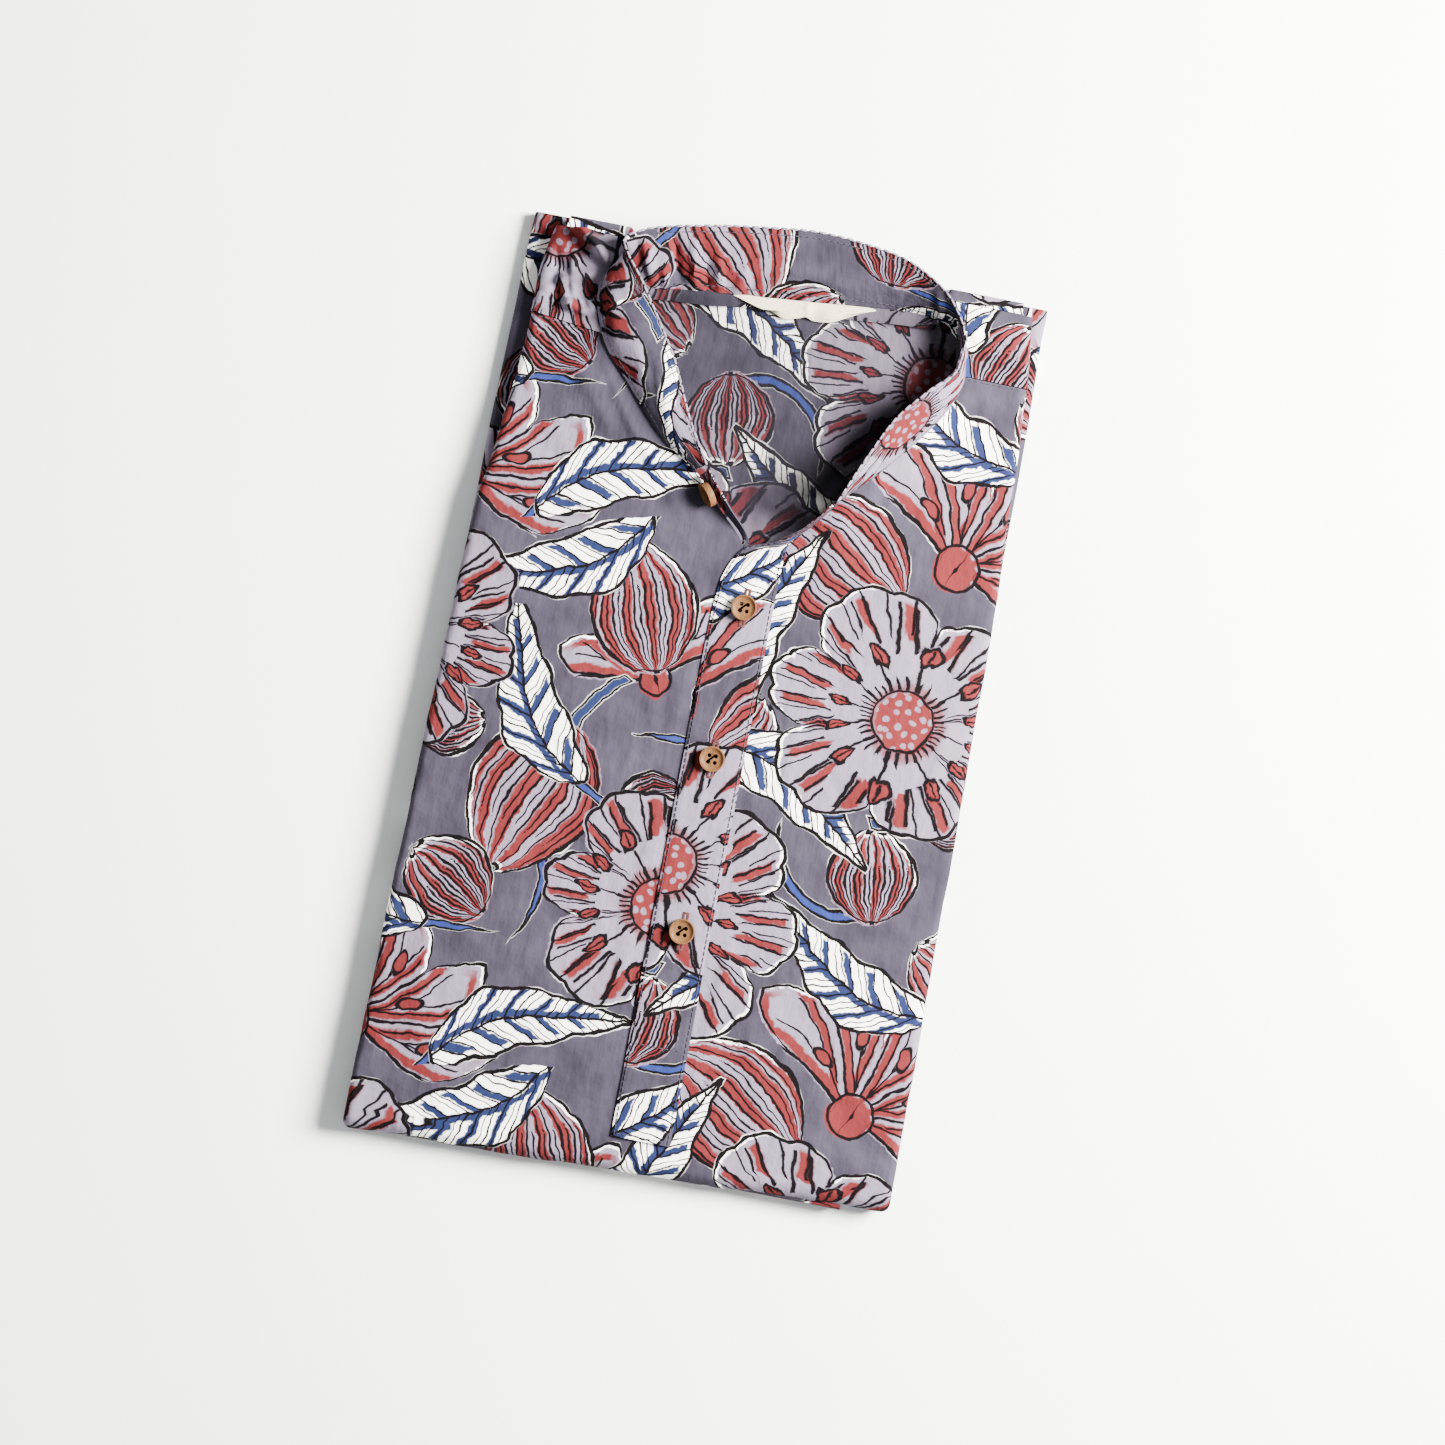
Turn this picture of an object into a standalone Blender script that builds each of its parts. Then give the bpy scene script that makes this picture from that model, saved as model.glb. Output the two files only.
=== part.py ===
"""A cotton kurta tunic, folded flat and lying face up, built from the pieces that a maker cuts and sews.

Metres, +Z up. X runs across the folded bundle, +Y toward the neck, and the underside rests on z = 0. The
bundle is folded in at both sides and once crosswise, so the front body runs over the top, round the bottom
fold and back along the underside to its hem. Tables are in millimetres in the bundle's own plan, and MM turns
them into metres.
"""

import math
from collections import namedtuple

import bmesh
import bpy
from mathutils import Matrix, Vector

MM = 0.001

# Driving sizes
WALL = 0.0012  # cloth, as a rigid wall
BAND_WALL = 0.0016  # collar band, two layers of cloth
SEAM_GAP = 0.0003
PLY_GAP = 0.0008  # between the front and the back under it
STACK = 0.0154  # underside to the front's outer face
FOLD_RADIUS = 0.0037  # side folds of each half of the bundle
RETURN = 0.0160  # cloth that runs back in behind each side fold
NOSE_RADIUS = STACK / 2  # the crosswise fold at the bottom
FOLD_EASE = 0.070  # how far from the bottom fold the side folds become whole
FOLD_STEPS = 5  # facets round a side fold
FLAT_STEPS = 12  # facets across the flat of the front
DOME = 0.0012  # how much fuller the middle is than the edges
BACK_INSET = 0.0046  # the back body's side edges lie inside the front's folds
SHOULDER_SEAM_Y = 0.2046
HEM_Y = 0.2095
BACK_FOOT_Y = -0.190  # the lower edge of the back body, well inside the bundle
YOKE_NECK_X = 0.066  # where a yoke's cloth starts, before the neck is cut out of it
YOKE_SEAM_X = 0.113  # where a yoke's outer edge is read off the front seam
NECK_CUT_DEPTH = 0.0024  # reaches through the fronts and yokes and not the back
BACK_CUT_DEPTH = 0.0040
CUT_RISE = 0.0200  # cutters stand this far above the front's face
BUTTON_RADIUS = 0.00575
BUTTON_THICKNESS = 0.0030
BUTTON_HOLE_RADIUS = 0.0009
BUTTON_HOLE_PITCH = 0.0030

Side = namedtuple("Side", "y upper_left lower_left upper_right lower_right")
SIDES = (
    Side(-214, -125.0, -125.0, 125.4, 125.4),
    Side(-100, -123.2, -123.2, 123.6, 123.6),
    Side(30, -120.6, -121.0, 121.6, 121.7),
    Side(76, -119.2, -120.4, 120.5, 120.9),
    Side(102, -115.6, -120.2, 119.2, 120.5),
    Side(150, -111.4, -119.6, 117.0, 119.8),
    Side(186, -110.0, -118.8, 113.8, 118.8),
    Side(200, -107.8, -118.4, 112.2, 118.7),
    Side(214, -104.6, -118.0, 110.8, 118.6),
)

End = namedtuple("End", "x bottom front_seam")
ENDS = (
    End(-126, -213.8, 166.2),
    End(-62, -212.2, 158.0),
    End(0, -210.2, 165.0),
    End(62, -207.8, 172.0),
    End(126, -205.0, 172.0),
)

# Neck seam (base) and free edge of the collar band, from the right front over the back to the left front.
# Heights are above the front's face, and belly is how far the band bows outward between its edges.
Station = namedtuple("Station", "base_x base_y base_z free_x free_y free_z belly")
COLLAR = (
    Station(42.8, 107.6, 0.9, 39.8, 103.8, 11.0, 0.6),
    Station(57.9, 123.0, 0.9, 49.8, 126.8, 13.5, 1.8),
    Station(70.0, 138.0, 0.9, 59.5, 146.6, 14.5, 2.4),
    Station(80.7, 154.0, 0.9, 71.0, 161.0, 15.0, 2.0),
    Station(86.4, 170.0, 0.9, 82.0, 174.0, 15.5, 1.2),
    Station(83.6, 184.0, 0.9, 83.0, 188.0, 15.5, 0.6),
    Station(73.0, 194.6, 0.7, 75.5, 202.0, 15.0, -1.0),
    Station(60.0, 196.4, -0.1, 63.0, 212.0, 13.0, -2.2),
    Station(44.0, 195.6, -0.1, 45.0, 219.0, 11.5, -2.6),
    Station(12.0, 192.2, -0.1, 12.0, 222.4, 9.5, -2.4),
    Station(-16.0, 189.8, -0.1, -16.0, 219.6, 9.0, -2.0),
    Station(-40.0, 187.4, -0.1, -42.0, 215.4, 9.0, -2.2),
    Station(-62.0, 184.6, -0.1, -66.0, 209.2, 10.0, -1.6),
    Station(-73.0, 186.6, 0.5, -74.8, 203.0, 13.0, -0.6),
    Station(-80.0, 187.6, 1.1, -72.0, 196.6, 14.0, 1.6),
    Station(-82.4, 177.0, 1.1, -64.0, 186.0, 12.5, 3.2),
    Station(-76.0, 158.0, 1.1, -54.0, 171.0, 11.0, 4.0),
    Station(-61.0, 140.0, 1.1, -43.6, 155.0, 10.5, 4.0),
    Station(-41.0, 119.0, 1.1, -30.5, 128.0, 10.0, 2.6),
    Station(-24.0, 107.6, 1.1, -19.6, 110.6, 9.5, 1.0),
)

# The placket's overlap lies flat to the foot of the neck slit, then stands on edge beside it.
OVERLAP = (
    Station(-4.6, -194.0, 1.1, 22.4, -194.0, 1.1, 0.0),
    Station(-4.8, -120.0, 1.1, 22.2, -120.0, 1.1, 0.0),
    Station(-5.0, -40.0, 1.1, 22.0, -40.0, 1.1, 0.0),
    Station(-5.2, 30.0, 1.1, 22.0, 30.0, 1.1, 0.0),
    Station(-4.2, 58.0, 1.1, 22.0, 58.0, 1.1, 0.0),
    Station(4.2, 77.4, 1.2, 22.4, 79.4, 1.1, 0.0),
    Station(17.6, 82.6, 3.6, 24.6, 84.8, 1.1, 0.4),
    Station(27.6, 90.2, 8.0, 31.4, 92.4, 1.1, 0.8),
    Station(37.6, 101.6, 10.4, 40.9, 104.4, 1.1, 0.6),
)

# The underlap fills the slit under the overlap, then stands on edge beside the open neck.
UNDERLAP = (
    Station(0.6, -146.0, -0.6, 16.6, -146.0, -0.6, 0.0),
    Station(0.6, -76.0, -0.6, 16.6, -76.0, -0.6, 0.0),
    Station(0.6, -6.0, -0.6, 16.6, -6.0, -0.6, 0.0),
    Station(0.6, 56.0, -0.6, 16.6, 56.0, -0.6, 0.0),
    Station(2.8, 74.0, -0.7, 7.4, 75.0, -0.7, 0.0),
    Station(2.5, 81.0, -0.4, 4.2, 83.0, 1.4, 0.0),
    Station(-7.4, 91.4, 1.0, -5.2, 93.0, 8.0, 0.2),
    Station(-15.4, 99.4, 1.0, -12.6, 101.4, 10.4, 0.3),
    Station(-21.8, 105.8, 1.0, -18.2, 108.4, 10.8, 0.4),
)

LABEL = (
    Station(-23.0, 186.4, -1.2, -23.6, 184.4, -1.1, 0.0),
    Station(-10.0, 187.4, -1.2, -10.4, 181.2, 0.2, 0.4),
    Station(8.0, 188.8, -1.2, 8.0, 183.6, 1.2, 0.5),
    Station(26.0, 190.4, -1.2, 26.6, 186.6, 1.0, 0.4),
    Station(45.0, 192.6, -1.2, 45.4, 190.8, -1.0, 0.0),
)

# The neck opening in the fronts and yokes runs down the left seam, across the foot of the slit and up the right.
SLIT_FOOT = ((2.2, 79.6), (2.2, 76.0), (18.6, 76.0), (22.8, 83.6))
SLIT = namedtuple("SLIT", "left right foot head")(0.0, 17.2, -147.0, 80.0)

Place = namedtuple("Place", "x y")
# Where the band passes from a front to the back's neckline, and the cutters' corners, clear of the cloth
BAND_TURN_RIGHT, BAND_TURN_LEFT = Place(72, 195), Place(-80, 188)
PAST_NECK_RIGHT, PAST_NECK_LEFT = Place(72, 240), Place(-79, 240)
BUTTONS = (Place(8.9, 50.9), Place(7.8, -18.7), Place(9.3, -97.4))
LOOSE_BUTTON = namedtuple("LOOSE_BUTTON", "x y z facing lean")(-16.9, 97.6, 7.0, 217.0, 14.0)

# Layered ends of the hidden stack at the neck: how far each layer stands back from the hem line.
Layer = namedtuple("Layer", "bottom top waist end_inset")
LAYERS = (
    Layer(1.5, 2.9, False, 1.6),
    Layer(2.9, 4.4, False, 0.8),
    Layer(4.4, 5.9, False, 2.6),
    Layer(5.9, 7.7, True, 4.2),
    Layer(7.7, 9.5, True, 3.0),
    Layer(9.5, 10.6, False, 1.0),
    Layer(10.6, 11.9, False, 2.2),
)
WAIST_INSET = 0.022  # the middle layers stop short of the cloth that runs back in behind the side folds
LAYER_GROOVE = 0.0009
LAYER_SPLIT = 0.00002  # keeps the ring that ends one layer off the ring that starts the next
CORE_GAP = 0.0013  # between the hidden layers and the folds round them

Fold = namedtuple("Fold", "x0 y0 x1 y1 width height")
FOLDS = (
    Fold(-84, 60, -52, -10, 28, 0.5),
    Fold(46, 76, 84, 40, 26, 0.4),
    Fold(-80, -90, -44, -150, 30, 0.6),
    Fold(60, -60, 84, -140, 28, 0.5),
)
YOKE_CRUMPLE = (
    Fold(-103, 203, -91, 194, 5.5, 4.2),
    Fold(-100, 186, -94, 170, 5, 1.6),
)

FINISHES = {
    "print": ((0.17, 0.15, 0.20), 0.85),
    "wrong_side": ((0.24, 0.22, 0.28), 0.9),
    "hidden": ((0.20, 0.18, 0.24), 0.9),
    "label": ((0.80, 0.74, 0.66), 0.8),
    "wood": ((0.52, 0.34, 0.18), 0.45),
}


def smooth(t):
    """Smoothstep of t, held between 0 and 1."""
    t = min(max(t, 0.0), 1.0)
    return t * t * (3 - 2 * t)


def along(rows, key, column, at):
    """The value in metres of a table's column where its key is `at` (metres), straight between rows."""
    place = at / MM
    for low, high in zip(rows, rows[1:]):
        if place <= getattr(high, key):
            break
    span = getattr(high, key) - getattr(low, key)
    t = min(max((place - getattr(low, key)) / span, 0.0), 1.0)
    return MM * (getattr(low, column) * (1 - t) + getattr(high, column) * t)


def ridge(folds, x, y):
    """Height in metres that the soft folds of a table raise the cloth by at a place in the plan."""
    height = 0.0
    for fold in folds:
        start = Vector((fold.x0, fold.y0)) * MM
        run = Vector((fold.x1, fold.y1)) * MM - start
        t = min(max((Vector((x, y)) - start).dot(run) / run.length_squared, 0.0), 1.0)
        away = (Vector((x, y)) - start - run * t).length / (fold.width * MM)
        height += fold.height * MM * math.exp(-away * away)
    return height


def relief(x, y):
    """Height in metres of the top of the bundle over its plain level: a low dome with a few soft folds."""
    left = along(SIDES, "y", "upper_left", y)
    right = along(SIDES, "y", "upper_right", y)
    across = smooth((x - left) / 0.040) * smooth((right - x) / 0.040)
    lengthwise = smooth((y - along(ENDS, "x", "bottom", x) - NOSE_RADIUS) / 0.045)
    return across * lengthwise * (DOME + ridge(FOLDS, x, y))


def curl_point(column, openness, offset):
    """A place on a side fold: how far inward from the fold's edge and how deep under the top face.

    openness is 1 where the cloth turns right round and runs back in, and less where the fold is cut short.
    """
    turn = math.pi * column.turn * (0.45 + 0.55 * min(2 * openness, 1.0))
    radius = FOLD_RADIUS - offset
    straight = RETURN * column.back * max(2 * openness - 1, 0.0)
    return FOLD_RADIUS - radius * math.sin(turn) + straight, FOLD_RADIUS - radius * math.cos(turn)


def sheet_mesh(outer, inner):
    """A closed wall between two grids of points, given as rows of equal length."""
    mesh = bmesh.new()
    rows, columns = len(outer), len(outer[0])
    faces = [[[mesh.verts.new(point) for point in row] for row in grid] for grid in (outer, inner)]
    top, bottom = faces
    for i in range(rows - 1):
        for j in range(columns - 1):
            mesh.faces.new((top[i][j], top[i][j + 1], top[i + 1][j + 1], top[i + 1][j]))
            mesh.faces.new((bottom[i][j], bottom[i + 1][j], bottom[i + 1][j + 1], bottom[i][j + 1]))
    rim = [(0, j) for j in range(columns)] + [(i, columns - 1) for i in range(1, rows)]
    rim += [(rows - 1, j) for j in range(columns - 2, -1, -1)] + [(i, 0) for i in range(rows - 2, 0, -1)]
    for (i, j), (k, m) in zip(rim, rim[1:] + rim[:1]):
        mesh.faces.new((top[i][j], bottom[i][j], bottom[k][m], top[k][m]))
    bmesh.ops.recalc_face_normals(mesh, faces=mesh.faces)
    if mesh.calc_volume(signed=True) < 0:
        bmesh.ops.reverse_faces(mesh, faces=mesh.faces)
    return mesh


def material(kind):
    """The plain material of a kind of finish, made once."""
    if kind in bpy.data.materials:
        return bpy.data.materials[kind]
    colour, roughness = FINISHES[kind]
    made = bpy.data.materials.new(kind)
    made.use_nodes = True
    shader = made.node_tree.nodes["Principled BSDF"]
    shader.inputs["Base Color"].default_value = (*colour, 1.0)
    shader.inputs["Roughness"].default_value = roughness
    shader.inputs["Metallic"].default_value = 0.0
    return made


def add_object(name, mesh, kind):
    """Turns a bmesh into a named object with its own copy of a material, shaded smooth but for its rims."""
    data = bpy.data.meshes.new(name)
    mesh.to_mesh(data)
    mesh.free()
    data.materials.append(material(kind).copy())
    data.materials[0].name = f"{name}_finish"
    data.shade_smooth()
    data.set_sharp_from_angle(angle=math.radians(50))
    piece = bpy.data.objects.new(name, data)
    bpy.context.collection.objects.link(piece)
    return piece


def add_cutter(name, outline, bottom, top):
    """A prism on a plan outline in millimetres, between two heights in metres, kept out of the model."""
    mesh = bmesh.new()
    base = mesh.faces.new([mesh.verts.new((x * MM, y * MM, bottom)) for x, y in outline])
    lifted = bmesh.ops.extrude_face_region(mesh, geom=[base])["geom"]
    upper = [v for v in lifted if isinstance(v, bmesh.types.BMVert)]
    bmesh.ops.translate(mesh, verts=upper, vec=(0, 0, top - bottom))
    bmesh.ops.recalc_face_normals(mesh, faces=mesh.faces)
    cutter = add_object(name, mesh, "hidden")
    cutter.hide_render = True
    cutter.display_type = "WIRE"
    return cutter


def cut(piece, cutter):
    """Takes a cutter's space out of a piece."""
    modifier = piece.modifiers.new(cutter.name, "BOOLEAN")
    modifier.operation = "DIFFERENCE"
    modifier.object = cutter


Column = namedtuple("Column", "side turn back")


def fold_columns(side):
    """Columns of a side fold, from the flat to the end of the cloth that runs back in."""
    turned = [Column(side, k / FOLD_STEPS, 0.0) for k in range(1, FOLD_STEPS + 1)]
    return turned + [Column(side, 1.0, 1.0)]


def wrapped_row(left, right, openness, place):
    """One row across the cloth, from the end of the left fold to the end of the right: outer and inner points.

    left and right are the fold lines in x, and place(x, base_x, depth) is the point at a depth under the
    outer face.
    """
    outer, inner = [], []
    flat = [Column(0, k / FLAT_STEPS, 0.0) for k in range(FLAT_STEPS + 1)]
    for column in fold_columns(-1)[::-1] + flat + fold_columns(1):
        for points, offset in ((outer, 0.0), (inner, WALL)):
            if column.side:
                inward, depth = curl_point(column, openness, offset)
                edge = left if column.side < 0 else right
                points.append(place(edge - column.side * inward, edge, depth))
            else:
                x = left + FOLD_RADIUS + column.turn * (right - left - 2 * FOLD_RADIUS)
                points.append(place(x, x, offset))
    return outer, inner


def fold_openness(x, y):
    """How far the side folds run at a place: cut short in the crosswise fold, whole away from it."""
    return smooth((y - along(ENDS, "x", "bottom", x) - NOSE_RADIUS) / FOLD_EASE)


def side_edges(y, half):
    """The left and right fold lines of the upper or lower half of the bundle."""
    return along(SIDES, "y", f"{half}_left", y), along(SIDES, "y", f"{half}_right", y)


def build_front_body():
    """The front panel: over the top from the yoke seams, round the bottom fold and under to the hem."""
    top_rows, nose_rows, under_rows = 20, 6, 6
    rows = []

    def on_top(share):
        def place(x, base_x, depth):
            start = along(ENDS, "x", "front_seam", base_x) - SEAM_GAP / 2
            end = along(ENDS, "x", "bottom", base_x) + NOSE_RADIUS
            y = start + (end - start) * share
            return Vector((x, y, STACK + relief(base_x, y) - depth))
        return place

    def on_nose(angle):
        def place(x, base_x, depth):
            centre = along(ENDS, "x", "bottom", base_x) + NOSE_RADIUS
            radius = NOSE_RADIUS - depth
            return Vector((x, centre - radius * math.sin(angle), NOSE_RADIUS + radius * math.cos(angle)))
        return place

    def on_underside(share):
        def place(x, base_x, depth):
            start = along(ENDS, "x", "bottom", base_x) + NOSE_RADIUS
            return Vector((x, start + (HEM_Y - start) * share, depth))
        return place

    for k in range(top_rows):
        place = on_top((k / top_rows) ** 0.92)
        y = place(0.0, 0.0, 0.0).y
        rows.append(wrapped_row(*side_edges(y, "upper"), fold_openness(0.0, y), place))
    for k in range(nose_rows + 1):
        bottom = along(ENDS, "x", "bottom", 0.0)
        rows.append(wrapped_row(*side_edges(bottom, "lower"), 0.0, on_nose(math.pi * k / nose_rows)))
    for k in range(1, under_rows + 1):
        place = on_underside((k / under_rows) ** 1.5)
        y = place(0.0, 0.0, 0.0).y
        rows.append(wrapped_row(*side_edges(y, "lower"), fold_openness(0.0, y), place))
    return add_object("front_body", sheet_mesh([r[0] for r in rows], [r[1] for r in rows]), "print")


def build_yoke(name, side, folds):
    """A shoulder yoke: from the front's seam to the shoulder seam, and round the side fold."""
    rows, flat = 7, 8
    outer, inner = [], []
    for k in range(rows + 1):
        for grid, offset in ((outer, 0.0), (inner, WALL)):
            points = []
            seam = along(ENDS, "x", "front_seam", side * YOKE_SEAM_X) + SEAM_GAP / 2
            edge = side_edges(seam + (SHOULDER_SEAM_Y - seam) * k / rows, "upper")[side > 0]
            for column in [Column(0, j / flat, 0.0) for j in range(flat + 1)] + fold_columns(side):
                if column.side:
                    inward, depth = curl_point(column, 1.0, offset)
                    x, base = edge - side * inward, edge
                else:
                    x = side * YOKE_NECK_X + (edge - side * FOLD_RADIUS - side * YOKE_NECK_X) * column.turn
                    depth, base = offset, x
                start = along(ENDS, "x", "front_seam", base) + SEAM_GAP / 2
                y = start + (SHOULDER_SEAM_Y - SEAM_GAP / 2 - start) * k / rows
                clear = smooth((abs(edge) - abs(base)) / 0.012) * smooth((y - start) / 0.008)
                points.append(Vector((x, y, STACK + relief(base, y) + clear * ridge(folds, x, y) - depth)))
            grid.append(points)
    return add_object(name, sheet_mesh(outer, inner), "print")


def build_back_body():
    """The back panel: under the front, up to the shoulders, and over their fold to the shoulder seams."""
    columns, rows, turns = 12, 14, 4
    turn_radius = (2 * WALL + PLY_GAP) / 2
    crest = HEM_Y - turn_radius
    path = [(BACK_FOOT_Y + (crest - BACK_FOOT_Y) * k / rows, -1.0, 0.0) for k in range(rows)]
    angles = [math.pi * k / turns for k in range(turns + 1)]
    path += [(crest, -math.cos(angle), math.sin(angle)) for angle in angles]
    path.append((SHOULDER_SEAM_Y + SEAM_GAP / 2, 1.0, 0.0))
    outer, inner = [], []
    for y, up, out in path:
        left, right = (edge * (1 - BACK_INSET / abs(edge)) for edge in side_edges(y, "upper"))
        for points, offset in ((outer, 0.0), (inner, WALL)):
            row = []
            for j in range(columns + 1):
                x = left + (right - left) * j / columns
                centre = STACK - turn_radius + relief(x, y)
                radius = turn_radius - offset
                row.append(Vector((x, y + radius * out, centre + radius * up)))
            points.append(row)
    return add_object("back_body", sheet_mesh(outer, inner), "wrong_side")


def ribbon_points(stations, rows):
    """Values between a ribbon's stations, on a smooth curve that never runs past them."""
    steps = [[b - a for a, b in zip(low, high)] for low, high in zip(stations, stations[1:])]
    steps = [steps[0]] + steps + [steps[-1]]
    slopes = [
        [2 * a * b / (a + b) if a * b > 0 else 0.0 for a, b in zip(before, after)]
        for before, after in zip(steps, steps[1:])
    ]
    read = []
    for k in range(rows + 1):
        at = k / rows * (len(stations) - 1)
        i = min(int(at), len(stations) - 2)
        t = at - i
        ease = (2 * t**3 - 3 * t**2 + 1, t**3 - 2 * t**2 + t, 3 * t**2 - 2 * t**3, t**3 - t**2)
        ends = zip(stations[i], slopes[i], stations[i + 1], slopes[i + 1])
        read.append([sum(share * value for share, value in zip(ease, column)) for column in ends])
    return read


def build_ribbon(name, stations, rows, segments, wall, kind):
    """A wall of cloth between a base edge and a free edge, bowed outward by its belly."""
    middle = []
    for station in ribbon_points(stations, rows):
        base, free, belly = Vector(station[0:3]) * MM, Vector(station[3:6]) * MM, station[6] * MM
        base.z += STACK + relief(base.x, base.y)
        free.z += STACK + relief(free.x, free.y)
        bow = Vector((0, 0, 1))
        if abs(belly) > 1e-6:
            bow = bow.cross(free - base).cross(free - base)
        bow = -bow.normalized() if bow.z < 0 else bow.normalized()
        row = []
        for j in range(segments + 1):
            t = j / segments
            row.append(base.lerp(free, t) + bow * abs(belly) * math.sin(math.pi * t))
        middle.append(row)
    outer, inner = [], []
    for i, row in enumerate(middle):
        tops, bottoms = [], []
        for j, point in enumerate(row):
            run = middle[min(i + 1, rows)][j] - middle[max(i - 1, 0)][j]
            rise = row[min(j + 1, segments)] - row[max(j - 1, 0)]
            normal = run.cross(rise).normalized() * wall / 2
            tops.append(point + normal)
            bottoms.append(point - normal)
        outer.append(tops)
        inner.append(bottoms)
    return add_object(name, sheet_mesh(outer, inner), kind)


def layer_outline(height, grooved, layer):
    """Plan outline of the hidden stack at a height, as a closed list of points."""
    sides, ends = 14, 8
    upper = height > STACK / 2
    half = "upper" if upper else "lower"
    depth = STACK - height if upper else height
    lobe = FOLD_RADIUS - WALL - CORE_GAP
    inset = FOLD_RADIUS - math.sqrt(max(lobe**2 - (depth - FOLD_RADIUS) ** 2, 0.0))
    if layer.waist:
        inset = WAIST_INSET
    nose = NOSE_RADIUS - WALL - CORE_GAP / 2
    reach = math.sqrt(max(nose**2 - (height - NOSE_RADIUS) ** 2, 0.0))
    far = HEM_Y - layer.end_inset * MM - (LAYER_GROOVE if grooved else 0.0)

    def near(x):
        return along(ENDS, "x", "bottom", x) + NOSE_RADIUS - reach

    def span(y):
        past_fold = smooth((y - near(0.0)) / (1.8 * FOLD_EASE))
        narrow = inset + (WAIST_INSET - inset) * (1 - past_fold)
        left, right = side_edges(y, half)
        return left + narrow, right - narrow

    points = []
    for side, start, end in ((1, near(0.1), far), (0, far, near(-0.1))):
        steps = [start + (end - start) * k / sides for k in range(sides)]
        points += [(span(y)[side], y) for y in steps]
        left, right = span(end)
        low, high = (right, left) if side else (left, right)
        across = [low + (high - low) * k / ends for k in range(ends)]
        points += [(x, end if side else near(x)) for x in across]
    return [Vector((x, y, height)) for x, y in points]


def build_folded_layers():
    """Sleeves, sides and skirt, folded away: one solid with a step for each layer at the neck end."""
    rings = []
    for layer in LAYERS:
        bottom, top = layer.bottom * MM, layer.top * MM
        lip = 0.22 * (top - bottom)
        steps = ((bottom + LAYER_SPLIT, True), (bottom + lip, False), (top - lip, False), (top, True))
        rings += [layer_outline(height, grooved, layer) for height, grooved in steps]
    mesh = bmesh.new()
    loops = [[mesh.verts.new(point) for point in ring] for ring in rings]
    for low, high in zip(loops, loops[1:]):
        for k in range(len(low)):
            n = (k + 1) % len(low)
            mesh.faces.new((low[k], low[n], high[n], high[k]))
    mesh.faces.new(list(reversed(loops[0])))
    mesh.faces.new(loops[-1])
    bmesh.ops.recalc_face_normals(mesh, faces=mesh.faces)
    return add_object("folded_layers", mesh, "hidden")


def build_button(name, matrix):
    """A wooden sew-through button with a raised rim and four holes, its face toward its own +Z."""
    half, radius = BUTTON_THICKNESS / 2, BUTTON_RADIUS
    profile = (
        (0.0, -half), (0.72 * radius, -half), (0.96 * radius, -0.3 * half), (radius, 0.2 * half),
        (0.92 * radius, 0.9 * half), (0.80 * radius, half), (0.66 * radius, 0.35 * half), (0.0, 0.25 * half),
    )
    mesh = bmesh.new()
    turned = [mesh.verts.new((x, 0, z)) for x, z in profile]
    edges = [mesh.edges.new(pair) for pair in zip(turned, turned[1:])]
    bmesh.ops.spin(mesh, geom=turned + edges, axis=(0, 0, 1), cent=(0, 0, 0), angle=2 * math.pi, steps=24)
    bmesh.ops.remove_doubles(mesh, verts=mesh.verts, dist=0.00001)
    bmesh.ops.recalc_face_normals(mesh, faces=mesh.faces)
    button = add_object(name, mesh, "wood")
    holes = bmesh.new()
    for x in (-0.5, 0.5):
        for y in (-0.5, 0.5):
            place = Matrix.Translation((x * BUTTON_HOLE_PITCH, y * BUTTON_HOLE_PITCH, 0))
            bmesh.ops.create_cone(
                holes, cap_ends=True, segments=8, radius1=BUTTON_HOLE_RADIUS, radius2=BUTTON_HOLE_RADIUS,
                depth=3 * BUTTON_THICKNESS, matrix=place,
            )
    drill = add_object(f"{name}_holes", holes, "hidden")
    drill.hide_render = True
    drill.display_type = "WIRE"
    cut(button, drill)
    for piece in (button, drill):
        piece.matrix_world = matrix
    return button


def build_buttons():
    """Three buttons on the overlap and a loose one that stands on the underlap's turned-up top."""
    for number, place in enumerate(BUTTONS, start=1):
        x, y = place.x * MM, place.y * MM
        z = STACK + relief(x, y) + OVERLAP[0].base_z * MM + WALL / 2 + 1.2 * SEAM_GAP + BUTTON_THICKNESS / 2
        build_button(f"button_{number}", Matrix.Translation((x, y, z)))
    loose = LOOSE_BUTTON
    upright = Matrix.Rotation(math.radians(90 - loose.lean), 4, "Y")
    facing = Matrix.Rotation(math.radians(loose.facing), 4, "Z") @ upright
    height = STACK + loose.z * MM
    build_button("button_4", Matrix.Translation((loose.x * MM, loose.y * MM, height)) @ facing)


def neck_outlines():
    """Plan outlines in millimetres of the neck opening in the fronts, and of the back's neckline."""
    seam = [(p[0], p[1]) for p in ribbon_points(COLLAR, 57)]

    def nearest(place):
        return min(range(len(seam)), key=lambda k: abs(seam[k][0] - place.x) + abs(seam[k][1] - place.y))

    turn_right, turn_left = nearest(BAND_TURN_RIGHT), nearest(BAND_TURN_LEFT)
    front = list(SLIT_FOOT[2:]) + seam[:turn_right + 1] + [PAST_NECK_RIGHT, PAST_NECK_LEFT] + seam[turn_left:]
    front += list(SLIT_FOOT[:2])
    back = [PAST_NECK_RIGHT] + seam[turn_right:turn_left + 1] + [PAST_NECK_LEFT]
    return front, back


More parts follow.
